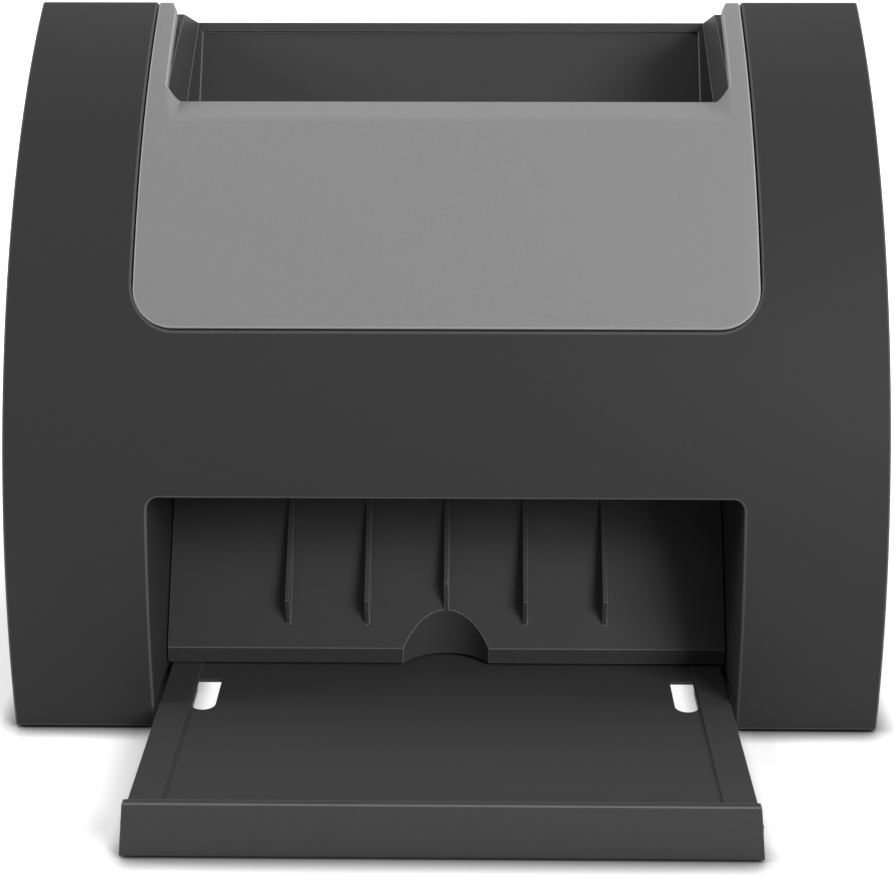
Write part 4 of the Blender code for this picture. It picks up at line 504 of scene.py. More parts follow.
def shade_truly(piece, least_flat=LARGE_FLAT, highlight_from=0.0):
    """Makes the piece a plain mesh that shades truly and marks the faces of a painted edge
    highlight.
    """
    piece.data.materials.append(piece.data.materials[0])
    depsgraph = bpy.context.evaluated_depsgraph_get()
    mesh = bpy.data.meshes.new_from_object(piece.evaluated_get(depsgraph))
    # Faces of the bevel above the given height get the painted edge highlight
    on_edge = [face.material_index * (face.center.z > highlight_from) for face in mesh.polygons]
    normals = [shaded.vector.copy() for shaded in mesh.corner_normals]
    mended = 0
    for face in mesh.polygons:
        for corner in face.loop_indices:
            direction, distance = from_axis(mesh.vertices[mesh.loops[corner].vertex_index].co)
            on_curve = abs(distance - FRONT_RADIUS) < ON_CURVE
            if on_curve and normals[corner].dot(direction) > NEAR_CURVE:
                normals[corner] = direction
                mended += 1
            elif face.area > least_flat and face.material_index == 0:
                normals[corner] = face.normal.copy()
                mended += 1
    mesh.normals_split_custom_set(normals)
    mesh.attributes.new("painted_edge_highlight", "FLOAT", "FACE").data.foreach_set("value", on_edge)
    mesh.polygons.foreach_set("material_index", [0] * len(on_edge))
    mesh.materials.pop()
    piece.modifiers.clear()
    piece.data = mesh
    return mended


print("curve's centre", [round(value / MM, 2) for value in CURVE_CENTRE])

# %% [markdown]
# ## The shell and what closes it
# The shell is one large moulding, so its outer edges carry the widest rounding. One row of facets
# ends a hair above the output opening, where there is no room for that rounding, so it is first
# turned a little way up along the curve. The base plate and the rear cover are flat mouldings that
# drop into the shell, with crisper edges that keep their gaps thin. Long thin faces fan out between
# the rear cover's openings, and a rounded corner would fold them over, so its corners are mitred.

# %% Shell, base plate and rear cover
OPENING_TOP = 46.0 * MM
ROW_ROOM = 1.0 * MM
CROWDED = 0.5 * MM
SHELL_ROUND = 0.45 * MM
BASE_ROUND = 0.2 * MM
REAR_ROUND = 0.25 * MM

shell_shape = welded_copy("outer_shell")
for vertex in shell_shape.verts:
    direction, distance = from_axis(vertex.co)
    above = vertex.co.z - shell_low[2] - OPENING_TOP
    if abs(distance - FRONT_RADIUS) < ON_CURVE and WELD < above < CROWDED:
        turn = Matrix.Rotation(-ROW_ROOM / FRONT_RADIUS, 3, "X")
        vertex.co = CURVE_CENTRE + turn @ (vertex.co - CURVE_CENTRE)
shell = soften(new_piece("outer_shell_moulding", shell_shape, BLACK_ABS), SHELL_ROUND, 3)
print(shade_truly(shell), "corners of the shell shade as they should")
hand_over(shell, "housing", "black_abs", "outer_shell")
base = dressed("base_plate", "housing", BLACK_ABS, "black_abs", BASE_ROUND)
rear = dressed("rear_cover", "housing", BLACK_ABS, "black_abs", REAR_ROUND)
rear.modifiers["soft_edges"].miter_outer = "MITER_SHARP"
shade_truly(rear, least_flat=0.0)
print([piece.name for piece in (shell, base, rear)])

# %% [markdown]
# ## What the cards touch
# The hopper, the chute and the ceiling of the recess are separate mouldings behind the shell. Cards
# slide over them, so their edges are rounded by little more than a tenth of a millimetre: enough to
# catch the light, and too little to catch a card.

# %% Hopper, chute and recess ceiling
CARD_ROUND = 0.12 * MM
CEILING_ROUND = 0.15 * MM

hopper = dressed("hopper", "housing", TRAY_ABS, "black_abs", CARD_ROUND)
chute = dressed("exit_chute", "housing", TRAY_ABS, "black_abs", CARD_ROUND)
ceiling = dressed("exit_guide", "housing", BLACK_ABS, "black_abs", CEILING_ROUND)
for moulding in (hopper, chute, ceiling):
    shade_truly(moulding)
print([piece.name for piece in (hopper, chute, ceiling)])

# %% [markdown]
# ## The tray and the feet
# The tray slides out to catch the cards, and its upright lip gets the handling, so its edges are
# a little rounder, and only the lip's upper edges get the painted highlight. The feet are cut from
# rubber sheet and rest on the desk.

# %% Tray and feet
HIGHLIGHT_BAND = 4 * MM
TRAY_ROUND = 0.25 * MM
FOOT_ROUND = 0.3 * MM

tray = dressed("output_tray", "tray", TRAY_ABS, "black_abs", TRAY_ROUND, 3)
lip_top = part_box("output_tray")[1][2]
# Only the lip's upper edges, within this band below its top, get the painted highlight
shade_truly(tray, highlight_from=lip_top - HIGHLIGHT_BAND)
FEET = [name for name in NODES if name.startswith("foot_")]
feet = [dressed(name, "housing", FOOT_RUBBER, "foot_rubber", FOOT_ROUND) for name in FEET]
print(tray.name, "and", len(feet), "feet")

# %% [markdown]
# ## The grey cover
# The cover is a thin curved skin. Its middle bends back to a sloped face and then over into the
# hopper, and an arm runs up on each side of it to the top. Where they part, the surface flows from
# one into the other, which is hard to build from solids. So we work flat: cut the blank, round its
# edges, slice it finely, and only then bend it. Each point of the blank knows how far it lies
# across the cover and how far up the skin, and one function says where that is in space. In the
# middle it follows the roll, at the sides the front's own curve, and over a few millimetres it
# turns from one into the other. A small relief lets the roll's end part from the arm. The blank is
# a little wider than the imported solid, which draws its side seams as thin as they really are.

# %% Sizes of the cover's blank
SKIN = 2.5 * MM
SEAM_CLOSED = 0.2 * MM
ROLL_START_HEIGHT = 110.2 * MM
LOWER_BEND = 4.0 * MM
FACE_TILT = math.radians(70)
FACE_LENGTH = 4.7 * MM
UPPER_BEND = 3.2 * MM
TAIL_TILT = math.radians(126)
TAIL_LENGTH = 8.6 * MM
CORNER = 7.8 * MM
ARM_INNER = 56.0 * MM
ROLL_HALF = 53.4 * MM
RELIEF_AT = 53.0 * MM
ARM_CHAMFER_ACROSS = 0.9 * MM
ARM_CHAMFER_ALONG = 2.4 * MM
ARM_CORNER = 0.5 * MM

cover_low, cover_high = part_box("front_cover")
cover_half = cover_high[0] + SEAM_CLOSED


def rise_at(height):
    """The angle above level, seen from the front curve's centre, of a height in the section."""
    return math.asin((height - CENTRE_HEIGHT) / FRONT_RADIUS)


BOTTOM_RISE = rise_at(cover_low[2] - shell_low[2])
ROLL_RISE = rise_at(ROLL_START_HEIGHT)
TOP_RISE = rise_at(cover_high[2] - shell_low[2])
ROLL_FROM = FRONT_RADIUS * (ROLL_RISE - BOTTOM_RISE)
ROLL_PATH = (
    (LOWER_BEND, LOWER_BEND * (FACE_TILT - ROLL_RISE)), (None, FACE_LENGTH),
    (UPPER_BEND, UPPER_BEND * (TAIL_TILT - FACE_TILT)), (None, TAIL_LENGTH),
)
BLANK_MIDDLE = ROLL_FROM + sum(length for radius, length in ROLL_PATH)
BLANK_ARMS = FRONT_RADIUS * (TOP_RISE - BOTTOM_RISE)
print("blank is", round(2 * cover_half / MM, 1), "mm wide; its middle",
      round(BLANK_MIDDLE / MM, 1), "and its arms", round(BLANK_ARMS / MM, 1), "mm long")

# %% Where a point of the blank lies
def outward(angle):
    """The direction that faces out of a curve at an angle above level, towards the front."""
    return Vector((0.0, -math.cos(angle), math.sin(angle)))


def onward(angle):
    """The direction in which a curve runs on at an angle above level, up and to the rear."""
    return Vector((0.0, math.sin(angle), math.cos(angle)))


def eased(share):
    """A share from nothing to all that starts and ends gently."""
    share = min(max(share, 0.0), 1.0)
    return share * share * (3.0 - 2.0 * share)


def in_middle(along, under):
    """A point of the cover's middle past the start of its roll."""
    place, angle = CURVE_CENTRE + FRONT_RADIUS * outward(ROLL_RISE), ROLL_RISE
    left = along - ROLL_FROM
    for radius, length in ROLL_PATH:
        step = min(left, length)
        left -= step
        if radius:
            centre = place - radius * outward(angle)
            angle += step / radius
            place = centre + radius * outward(angle)
        else:
            place = place + step * onward(angle)
    return place - under * outward(angle)


def bent(across, along, under):
    """A blank's point in space: across the cover, up along the skin, and under its face."""
    place = CURVE_CENTRE + (FRONT_RADIUS - under) * outward(BOTTOM_RISE + along / FRONT_RADIUS)
    if along > ROLL_FROM:
        share = eased((ARM_INNER - abs(across)) / (ARM_INNER - ROLL_HALF))
        place = place.lerp(in_middle(along, under), share)
    place.x = across
    return place


print("roll's top edge at", [round(value / MM, 1) for value in bent(0.0, BLANK_MIDDLE, 0.0)])

# %% The blank's outline, and the blank cut, rounded, sliced and bent
CORNER_STEPS = 12
EDGE_ROUND = 0.35 * MM
FRAME_ROUND = 0.15 * MM
WIDE_SLICE = 4.0 * MM
FINE_SLICE = 0.2 * MM
LONG_SLICE = 2.0 * MM
ROLL_SLICE = 0.6 * MM


def corner_points(centre, radius, start, end):
    """A rounded corner as points, from one angle to another in degrees."""
    points = []
    for step in range(CORNER_STEPS + 1):
        angle = math.radians(start + (end - start) * step / CORNER_STEPS)
        points.append((centre[0] + radius * math.cos(angle), centre[1] + radius * math.sin(angle)))
    return points


def blank_half():
    """The right half of the outline, from the foot round the arm and the relief to the roll."""
    foot = corner_points((cover_half - CORNER, CORNER), CORNER, -90, 0)
    tip = corner_points((cover_half - ARM_CORNER, BLANK_ARMS - ARM_CORNER), ARM_CORNER, 0, 90)
    chamfer = [
        (ARM_INNER + ARM_CHAMFER_ACROSS, BLANK_ARMS), (ARM_INNER, BLANK_ARMS - ARM_CHAMFER_ALONG),
    ]
    relief_radius = (ARM_INNER - ROLL_HALF) / 2
    relief = corner_points((ARM_INNER - relief_radius, RELIEF_AT), relief_radius, 0, -180)
    return foot + tip + chamfer + relief + [(ROLL_HALF, BLANK_MIDDLE)]


def slice_at(shape, values, axis):
    """Cuts through the whole blank, square to one axis, at each value."""
    normal = Vector([1.0 if number == axis else 0.0 for number in range(3)])
    for value in values:
        parts = shape.verts[:] + shape.edges[:] + shape.faces[:]
        bmesh.ops.bisect_plane(shape, geom=parts, plane_co=normal * value, plane_no=normal)


def steps_between(start, end, step):
    """Evenly spaced values from start to end, no further apart than the step."""
    count = math.ceil((end - start) / step)
    return [start + (end - start) * number / count for number in range(count + 1)]


right = blank_half()
outline = right + [(-across, along) for across, along in reversed(right)]
blank = bmesh.new()
face = blank.faces.new([blank.verts.new((across, along, 0.0)) for across, along in outline])
under = bmesh.ops.extrude_face_region(blank, geom=[face])
for vertex in [part for part in under["geom"] if isinstance(part, bmesh.types.BMVert)]:
    vertex.co.z = SKIN
bmesh.ops.recalc_face_normals(blank, faces=blank.faces)
rims = [edge for edge in blank.edges if abs(edge.verts[0].co.z - edge.verts[1].co.z) < WELD]
# The faces of the rounded rims get the painted edge highlight
edge_highlight = blank.faces.layers.float.new("painted_edge_highlight")
rounded = bmesh.ops.bevel(blank, geom=rims, offset=EDGE_ROUND, segments=3, profile=0.5,
                          affect="EDGES", clamp_overlap=False)
for face in rounded["faces"]:
    face[edge_highlight] = 1.0
turn_slices = steps_between(ROLL_HALF, ARM_INNER, FINE_SLICE)
slice_at(blank, steps_between(-turn_slices[0], turn_slices[0], WIDE_SLICE), 0)
slice_at(blank, turn_slices + [-value for value in turn_slices], 0)
slice_at(blank, steps_between(EDGE_ROUND, ROLL_FROM, LONG_SLICE), 1)
slice_at(blank, steps_between(ROLL_FROM, BLANK_ARMS, ROLL_SLICE), 1)
for vertex in blank.verts:
    vertex.co = bent(*vertex.co)
bmesh.ops.recalc_face_normals(blank, faces=blank.faces)
cover = new_piece("front_cover_skin", blank, GREY_ABS)
hand_over(cover, "cover", "grey_abs", "front_cover")
cover_frame = dressed("cover_frame", "cover", DARK_ABS, "dark_abs", FRAME_ROUND)
print(len(cover.data.polygons), "faces in the skin, over", cover_frame.name)

# %% [markdown]
# ## A way to grow repeated pieces
# Fins, contacts, ridges and screws all repeat, so Geometry Nodes make them. Each tree is written
# once, with named inputs for its sizes. The function below hangs a tree on an empty object, sets
# its inputs, takes the finished mesh and throws the modifier away, so what stays is a plain mesh.

# %% Trees with named inputs, and plain meshes from them
INPUT_KINDS = {
    float: "NodeSocketFloat", int: "NodeSocketInt", tuple: "NodeSocketVector",
    bpy.types.Material: "NodeSocketMaterial",
}


def new_tree(name, inputs):
    """A geometry tree with a geometry output and one named input for each entry."""
    tree = bpy.data.node_groups.new(name, "GeometryNodeTree")
    tree.interface.new_socket("Geometry", in_out="OUTPUT", socket_type="NodeSocketGeometry")
    for label, kind in inputs.items():
        tree.interface.new_socket(label, in_out="INPUT", socket_type=INPUT_KINDS[kind])
    return tree, add_node(tree, "NodeGroupInput").outputs


def finish_tree(tree, geometry, material):
    """Ends a tree: real geometry, in its material."""
    real = add_node(tree, "GeometryNodeRealizeInstances", {"Geometry": geometry})
    painted = add_node(tree, "GeometryNodeSetMaterial", {
        "Geometry": real.outputs["Geometry"], "Material": material,
    })
    add_node(tree, "NodeGroupOutput", {"Geometry": painted.outputs["Geometry"]})
    return tree


def grown(name, tree, values):
    """The plain mesh object that a tree makes from its input values."""
    holder = bpy.data.objects.new(name + "_holder", bpy.data.meshes.new(name + "_seed"))
    bpy.context.scene.collection.objects.link(holder)
    maker = holder.modifiers.new("maker", "NODES")
    maker.node_group = tree
    for item in tree.interface.items_tree:
        if item.item_type == "SOCKET" and item.in_out == "INPUT":
            maker[item.identifier] = values[item.name]
    depsgraph = bpy.context.evaluated_depsgraph_get()
    mesh = bpy.data.meshes.new_from_object(holder.evaluated_get(depsgraph))
    mesh.name = name
    bpy.data.objects.remove(holder)
    piece = bpy.data.objects.new(name, mesh)
    bpy.context.scene.collection.objects.link(piece)
    return piece


print("kinds of input:", sorted(kind.__name__ for kind in INPUT_KINDS))

# %% [markdown]
# ## Ridged tyres
# A driven tyre is a rubber sleeve moulded with shallow ridges along its width, which grip one card
# and let dust drop into the grooves. Its outline is a circle whose points step in and out in pairs.
# The tree fills the ring between that outline and the bore, and pushes it out to the tyre's width.
# Every ridge takes four points: two of them stay on the rim, and the other two drop by its depth.

# %% The tyre tree
RIDGE_POINTS = 4.0
LAST_ON_RIM = 1.5
BORE_POINTS = 48

TYRE_INPUTS = {
    "Bore": float, "Radius": float, "Ridge Depth": float, "Ridges": int, "Width": float,
    "Place": tuple, "Rubber": bpy.types.Material,
}
tyre_tree, given = new_tree("ridged_tyre", TYRE_INPUTS)
points = add_node(tyre_tree, "ShaderNodeMath", {
    0: given["Ridges"], 1: RIDGE_POINTS,
}, operation="MULTIPLY")
rim = add_node(tyre_tree, "GeometryNodeCurvePrimitiveCircle", {
    "Resolution": points.outputs[0], "Radius": given["Radius"],
})
index = add_node(tyre_tree, "GeometryNodeInputIndex")
quarter = add_node(tyre_tree, "ShaderNodeMath", {
    0: index.outputs[0], 1: RIDGE_POINTS,
}, operation="MODULO")
groove = add_node(tyre_tree, "ShaderNodeMath", {
    0: quarter.outputs[0], 1: LAST_ON_RIM,
}, operation="GREATER_THAN")
drop = add_node(tyre_tree, "ShaderNodeMath", {
    0: given["Ridge Depth"], 1: given["Radius"],
}, operation="DIVIDE")
dip = add_node(tyre_tree, "ShaderNodeMath", {
    0: groove.outputs[0], 1: drop.outputs[0],
}, operation="MULTIPLY")
keep = add_node(tyre_tree, "ShaderNodeMath", {0: 1.0, 1: dip.outputs[0]}, operation="SUBTRACT")
here = add_node(tyre_tree, "GeometryNodeInputPosition")
stepped = add_node(tyre_tree, "ShaderNodeVectorMath", {
    0: here.outputs[0], "Scale": keep.outputs[0],
}, operation="SCALE")
ridged = add_node(tyre_tree, "GeometryNodeSetPosition", {
    "Geometry": rim.outputs["Curve"], "Position": stepped.outputs[0],
})
bore = add_node(tyre_tree, "GeometryNodeCurvePrimitiveCircle", {
    "Resolution": BORE_POINTS, "Radius": given["Bore"],
})
outlines = add_node(tyre_tree, "GeometryNodeJoinGeometry", {"Geometry": ridged.outputs["Geometry"]})
tyre_tree.links.new(bore.outputs["Curve"], outlines.inputs["Geometry"])
ring = add_node(tyre_tree, "GeometryNodeFillCurve", {"Curve": outlines.outputs["Geometry"]})
sleeve = add_node(tyre_tree, "GeometryNodeExtrudeMesh", {
    "Mesh": ring.outputs["Mesh"], "Offset Scale": given["Width"], "Individual": False,
})
back = add_node(tyre_tree, "GeometryNodeFlipFaces", {"Mesh": ring.outputs["Mesh"]})
closed = add_node(tyre_tree, "GeometryNodeJoinGeometry", {"Geometry": sleeve.outputs["Mesh"]})
tyre_tree.links.new(back.outputs["Mesh"], closed.inputs["Geometry"])
welded = add_node(tyre_tree, "GeometryNodeMergeByDistance", {
    "Geometry": closed.outputs["Geometry"], "Distance": WELD,
})
turned = add_node(tyre_tree, "GeometryNodeTransform", {
    "Geometry": welded.outputs["Geometry"], "Rotation": (0.0, math.radians(90), 0.0),
    "Translation": given["Place"],
})
finish_tree(tyre_tree, turned.outputs["Geometry"], given["Rubber"])
print("tyre tree has", len(tyre_tree.nodes), "nodes")

# %% Five tyres in place of their solids
RIDGE_PITCH = 1.6 * MM
RIDGE_DEPTH = 0.35 * MM
BORE = 3.3 * MM
TYRE_BODIES = {
    "pick_tyre": "pick_roller", "feed_tyre_left": "feed_roller", "feed_tyre_right": "feed_roller",
    "exit_tyre_left": "exit_roller", "exit_tyre_right": "exit_roller",
}


def ridged_tyre(node, body):
    """A ridged tyre of the same size and in the same place as its solid."""
    low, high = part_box(node)
    radius = (high[2] - low[2]) / 2
    tyre = grown(node + "_ridged", tyre_tree, {
        "Bore": BORE, "Radius": radius, "Ridge Depth": RIDGE_DEPTH,
        "Ridges": round(math.tau * radius / RIDGE_PITCH), "Width": high[0] - low[0],
        "Place": (low[0], (low[1] + high[1]) / 2, (low[2] + high[2]) / 2), "Rubber": TYRE_RUBBER,
    })
    return hand_over(tyre, body, "tyre_rubber", node)


tyres = [ridged_tyre(node, body) for node, body in TYRE_BODIES.items()]
print([(tyre.name, len(tyre.data.vertices)) for tyre in tyres])

# %% [markdown]
# ## Rows of bars
# Behind each vent slot a sloped fin keeps dust and stray clips out, and the USB socket has a tongue
# with flat contacts, on wide and narrow faces. Both are one bar, repeated in a row, so one tree
# makes them: a line of points, and a box on each of them.

# %% The row tree
ROW_INPUTS = {
    "Count": int, "Step": tuple, "Size": tuple, "First": tuple, "Tilt": tuple,
    "Finish": bpy.types.Material,
}
row_tree, given = new_tree("row_of_bars", ROW_INPUTS)
line = add_node(row_tree, "GeometryNodeMeshLine", {
    "Count": given["Count"], "Start Location": given["First"], "Offset": given["Step"],
}, mode="OFFSET")
bar = add_node(row_tree, "GeometryNodeMeshCube", {"Size": given["Size"]})
row = add_node(row_tree, "GeometryNodeInstanceOnPoints", {
    "Points": line.outputs["Mesh"], "Instance": bar.outputs["Mesh"], "Rotation": given["Tilt"],
})
finish_tree(row_tree, row.outputs["Instances"], given["Finish"])
print("row tree has", len(row_tree.nodes), "nodes")

# %% Fins behind the vents
VENT_COUNT = 9
VENT_STEP = 5.0 * MM
VENT_LENGTH = 40.0 * MM
VENT_CENTRE = -30.0 * MM
VENT_TOP_DROP = 10.8 * MM
FIN_DEPTH = 3.4 * MM
FIN_THICKNESS = 0.8 * MM
FIN_TILT = math.radians(38)
FIN_GAP = 0.4 * MM
FIN_LONGER = 2 * MM
FIN_ROUND = 0.12 * MM

rear_low, rear_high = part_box("rear_cover")
fin_reach = (FIN_DEPTH * math.cos(FIN_TILT) + FIN_THICKNESS) / 2
lowest = rear_high[2] - VENT_TOP_DROP - (VENT_COUNT - 1) * VENT_STEP
fins = grown("vent_fins", row_tree, {
    "Count": VENT_COUNT, "Step": (0.0, 0.0, VENT_STEP), "Finish": DARK_ABS,
    "Size": (VENT_LENGTH + FIN_LONGER, FIN_DEPTH, FIN_THICKNESS), "Tilt": (-FIN_TILT, 0.0, 0.0),
    "First": (VENT_CENTRE, rear_low[1] - FIN_GAP - fin_reach, lowest),
})
hand_over(soften(fins, FIN_ROUND), "housing", "dark_abs")
print("fins over", round((VENT_COUNT - 1) * VENT_STEP / MM), "mm")

# %% Tongue and contacts of the USB socket, and the pin of the power socket
TONGUE = (5.6 * MM, 8.0 * MM, 3.0 * MM)
CONTACT = (0.9 * MM, 6.6 * MM, 0.16 * MM)
CONTACT_STEP = 2.5 * MM
SOCKET_DEPTH = 12.5 * MM
PIN_RADIUS = 0.85 * MM
PIN_LENGTH = 8.5 * MM
PIN_SET_BACK = 1.5 * MM
PIN_SIDES = 24
TONGUE_ROUND = 0.2 * MM
PIN_ROUND = 0.3 * MM

usb_low, usb_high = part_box("usb_socket")
usb_middle = [(low + high) / 2 for low, high in zip(usb_low, usb_high)]
floor_y = usb_high[1] - SOCKET_DEPTH
tongue = grown("usb_tongue", row_tree, {
    "Count": 1, "Step": (0.0, 0.0, 0.0), "Size": TONGUE, "Tilt": (0.0, 0.0, 0.0),
    "First": (usb_middle[0], floor_y + TONGUE[1] / 2, usb_middle[2]), "Finish": SOCKET_NYLON,
})
hand_over(soften(tongue, TONGUE_ROUND), "housing", "socket_nylon")
for side, name in ((1, "upper"), (-1, "lower")):
    contacts = grown(f"usb_contacts_{name}", row_tree, {
        "Count": 2, "Step": (CONTACT_STEP, 0.0, 0.0), "Size": CONTACT, "Tilt": (0.0, 0.0, 0.0),
        "First": (usb_middle[0] - CONTACT_STEP / 2, floor_y + CONTACT[1] / 2,
                  usb_middle[2] + side * (TONGUE[2] + CONTACT[2]) / 2), "Finish": GOLD_FLASH,
    })
    hand_over(contacts, "housing", "tinned_steel")

power_low, power_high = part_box("power_socket")
pin_shape = bmesh.new()
bmesh.ops.create_cone(pin_shape, cap_ends=True, segments=PIN_SIDES, radius1=PIN_RADIUS,
                      radius2=PIN_RADIUS, depth=PIN_LENGTH,
                      matrix=Matrix.Rotation(math.radians(90), 4, "X"))
pin_middle = Vector(((power_low[0] + power_high[0]) / 2,
                     power_high[1] - PIN_LENGTH / 2 - PIN_SET_BACK,
                     (power_low[2] + power_high[2]) / 2))
bmesh.ops.translate(pin_shape, verts=pin_shape.verts, vec=pin_middle)
pin = soften(new_piece("power_pin", pin_shape, BRIGHT_STEEL), PIN_ROUND, 3)
hand_over(pin, "housing", "bright_steel")
print("sockets filled:", tongue.name, pin.name)

# %% [markdown]
# ## Cross-head screws
# Four screws come up through the base plate into posts of the shell. Each has a pan head with a
# cross recess, and a coarse thread that cuts its own way into the plastic. The thread is a spiral
# curve with a small triangle swept along it, and two crossed boxes cut the recess.

# %% The screw tree
HEAD_SIDES = 32
SHANK_SIDES = 24
RECESS_REACH = 1.15
CREST_SHARE = 0.22
SCREW_INPUTS = {
    "Side": float, "Front": float, "Rear": float, "Bottom": float, "Head Radius": float,
    "Head Height": float, "Shank Radius": float, "Length": float, "Recess Width": float,
    "Pitch": float, "Steel": bpy.types.Material,
}
screw_tree, given = new_tree("cross_head_screws", SCREW_INPUTS)
number = add_node(screw_tree, "GeometryNodeInputIndex").outputs[0]
odd = add_node(screw_tree, "ShaderNodeMath", {0: number, 1: 2.0}, operation="MODULO")
side_sign = add_node(screw_tree, "ShaderNodeMapRange", {
    "Value": odd.outputs[0], "To Min": -1.0, "To Max": 1.0,
})
across = add_node(screw_tree, "ShaderNodeMath", {
    0: side_sign.outputs["Result"], 1: given["Side"],
}, operation="MULTIPLY")
in_rear = add_node(screw_tree, "ShaderNodeMath", {0: number, 1: 1.5}, operation="GREATER_THAN")
depth = add_node(screw_tree, "ShaderNodeMapRange", {
    "Value": in_rear.outputs[0], "To Min": given["Front"], "To Max": given["Rear"],
})
corner = add_node(screw_tree, "ShaderNodeCombineXYZ", {
    "X": across.outputs[0], "Y": depth.outputs["Result"], "Z": given["Bottom"],
})
corners = add_node(screw_tree, "GeometryNodePoints", {"Count": 4, "Position": corner.outputs[0]})
head = add_node(screw_tree, "GeometryNodeMeshCylinder", {
    "Vertices": HEAD_SIDES, "Radius": given["Head Radius"], "Depth": given["Head Height"],
})
half_head = add_node(screw_tree, "ShaderNodeMath", {
    0: given["Head Height"], 1: 0.5,
}, operation="MULTIPLY")
head_up = add_node(screw_tree, "ShaderNodeCombineXYZ", {"Z": half_head.outputs[0]})
head_placed = add_node(screw_tree, "GeometryNodeTransform", {
    "Geometry": head.outputs["Mesh"], "Translation": head_up.outputs[0],
})
recess_length = add_node(screw_tree, "ShaderNodeMath", {
    0: given["Head Radius"], 1: RECESS_REACH,
}, operation="MULTIPLY")
slot_size = add_node(screw_tree, "ShaderNodeCombineXYZ", {
    "X": recess_length.outputs[0], "Y": given["Recess Width"], "Z": given["Head Height"],
})
slot = add_node(screw_tree, "GeometryNodeMeshCube", {"Size": slot_size.outputs[0]})
crossed = add_node(screw_tree, "GeometryNodeTransform", {
    "Geometry": slot.outputs["Mesh"], "Rotation": (0.0, 0.0, math.radians(90)),
})
recessed = add_node(screw_tree, "GeometryNodeMeshBoolean", {
    "Mesh 1": head_placed.outputs["Geometry"], "Mesh 2": slot.outputs["Mesh"],
}, operation="DIFFERENCE")
screw_tree.links.new(crossed.outputs["Geometry"], recessed.inputs["Mesh 2"])
shank = add_node(screw_tree, "GeometryNodeMeshCylinder", {
    "Vertices": SHANK_SIDES, "Radius": given["Shank Radius"], "Depth": given["Length"],
})
half_length = add_node(screw_tree, "ShaderNodeMath", {
    0: given["Length"], 1: 0.5,
}, operation="MULTIPLY")
shank_lift = add_node(screw_tree, "ShaderNodeMath", {
    0: half_length.outputs[0], 1: given["Head Height"],
}, operation="ADD")
shank_up = add_node(screw_tree, "ShaderNodeCombineXYZ", {"Z": shank_lift.outputs[0]})
shank_placed = add_node(screw_tree, "GeometryNodeTransform", {
    "Geometry": shank.outputs["Mesh"], "Translation": shank_up.outputs[0],
})
turns = add_node(screw_tree, "ShaderNodeMath", {
    0: given["Length"], 1: given["Pitch"],
}, operation="DIVIDE")
helix = add_node(screw_tree, "GeometryNodeCurveSpiral", {
    "Resolution": SHANK_SIDES, "Rotations": turns.outputs[0], "Start Radius": given["Shank Radius"],
    "End Radius": given["Shank Radius"], "Height": given["Length"],
})
crest_size = add_node(screw_tree, "ShaderNodeMath", {
    0: given["Pitch"], 1: CREST_SHARE,
}, operation="MULTIPLY")
crest = add_node(screw_tree, "GeometryNodeCurvePrimitiveCircle", {
    "Resolution": 3, "Radius": crest_size.outputs[0],
})
thread = add_node(screw_tree, "GeometryNodeCurveToMesh", {
    "Curve": helix.outputs["Curve"], "Profile Curve": crest.outputs["Curve"], "Fill Caps": True,
})
thread_up = add_node(screw_tree, "ShaderNodeCombineXYZ", {"Z": given["Head Height"]})
thread_placed = add_node(screw_tree, "GeometryNodeTransform", {
    "Geometry": thread.outputs["Mesh"], "Translation": thread_up.outputs[0],
})
screw = add_node(screw_tree, "GeometryNodeJoinGeometry", {"Geometry": recessed.outputs["Mesh"]})
screw_tree.links.new(shank_placed.outputs["Geometry"], screw.inputs["Geometry"])
screw_tree.links.new(thread_placed.outputs["Geometry"], screw.inputs["Geometry"])
four = add_node(screw_tree, "GeometryNodeInstanceOnPoints", {
    "Points": corners.outputs["Points"], "Instance": screw.outputs["Geometry"],
})
finish_tree(screw_tree, four.outputs["Instances"], given["Steel"])
print("screw tree has", len(screw_tree.nodes), "nodes")

# %% Four screws in place of their solids
SCREWS = [name for name in NODES if name.startswith("base_screw_")]
SCREW_HEAD = 1.4 * MM
THREAD_OUTSIDE = 1.4 * MM
THREAD_PITCH = 1.2 * MM
RECESS_WIDTH = 0.9 * MM

front_low, front_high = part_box("base_screw_front_right")
rear_screw_low, rear_screw_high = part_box("base_screw_rear_right")
screws = grown("base_screws", screw_tree, {
    "Side": abs(front_low[0] + front_high[0]) / 2, "Front": (front_low[1] + front_high[1]) / 2,
    "Rear": (rear_screw_low[1] + rear_screw_high[1]) / 2, "Bottom": front_low[2],
    "Head Radius": (front_high[0] - front_low[0]) / 2, "Head Height": SCREW_HEAD,
    "Shank Radius": THREAD_OUTSIDE - THREAD_PITCH * CREST_SHARE,
    "Length": front_high[2] - front_low[2] - SCREW_HEAD, "Recess Width": RECESS_WIDTH,
    "Pitch": THREAD_PITCH, "Steel": BRIGHT_STEEL,
})
hand_over(screws, "housing", "bright_steel", *SCREWS)
print(len(SCREWS), "screws,", len(screws.data.polygons), "faces")

# %% [markdown]
# ## Floor and background
# The object stands on a white sheet that runs out of sight, as in a catalogue photograph. The sheet
# catches the object's soft shadow. Away from it the picture has to be plain white, and that must
# not come from more light, which would wash out the greys. So only what is seen of the sheet is
# lifted with some emission: a little beside the object, and fully where its shadow has ended. Under
# the tray the emission paints light into the tray's shade, so that white paper shows through the two
# slots. Where the object almost touches the sheet, the ambient occlusion node darkens the sheet's
# colour and its lift: a painted contact shadow, a narrow dark line. The room is white to the camera,
# and in polished metal and glass, but lights the object far more gently.

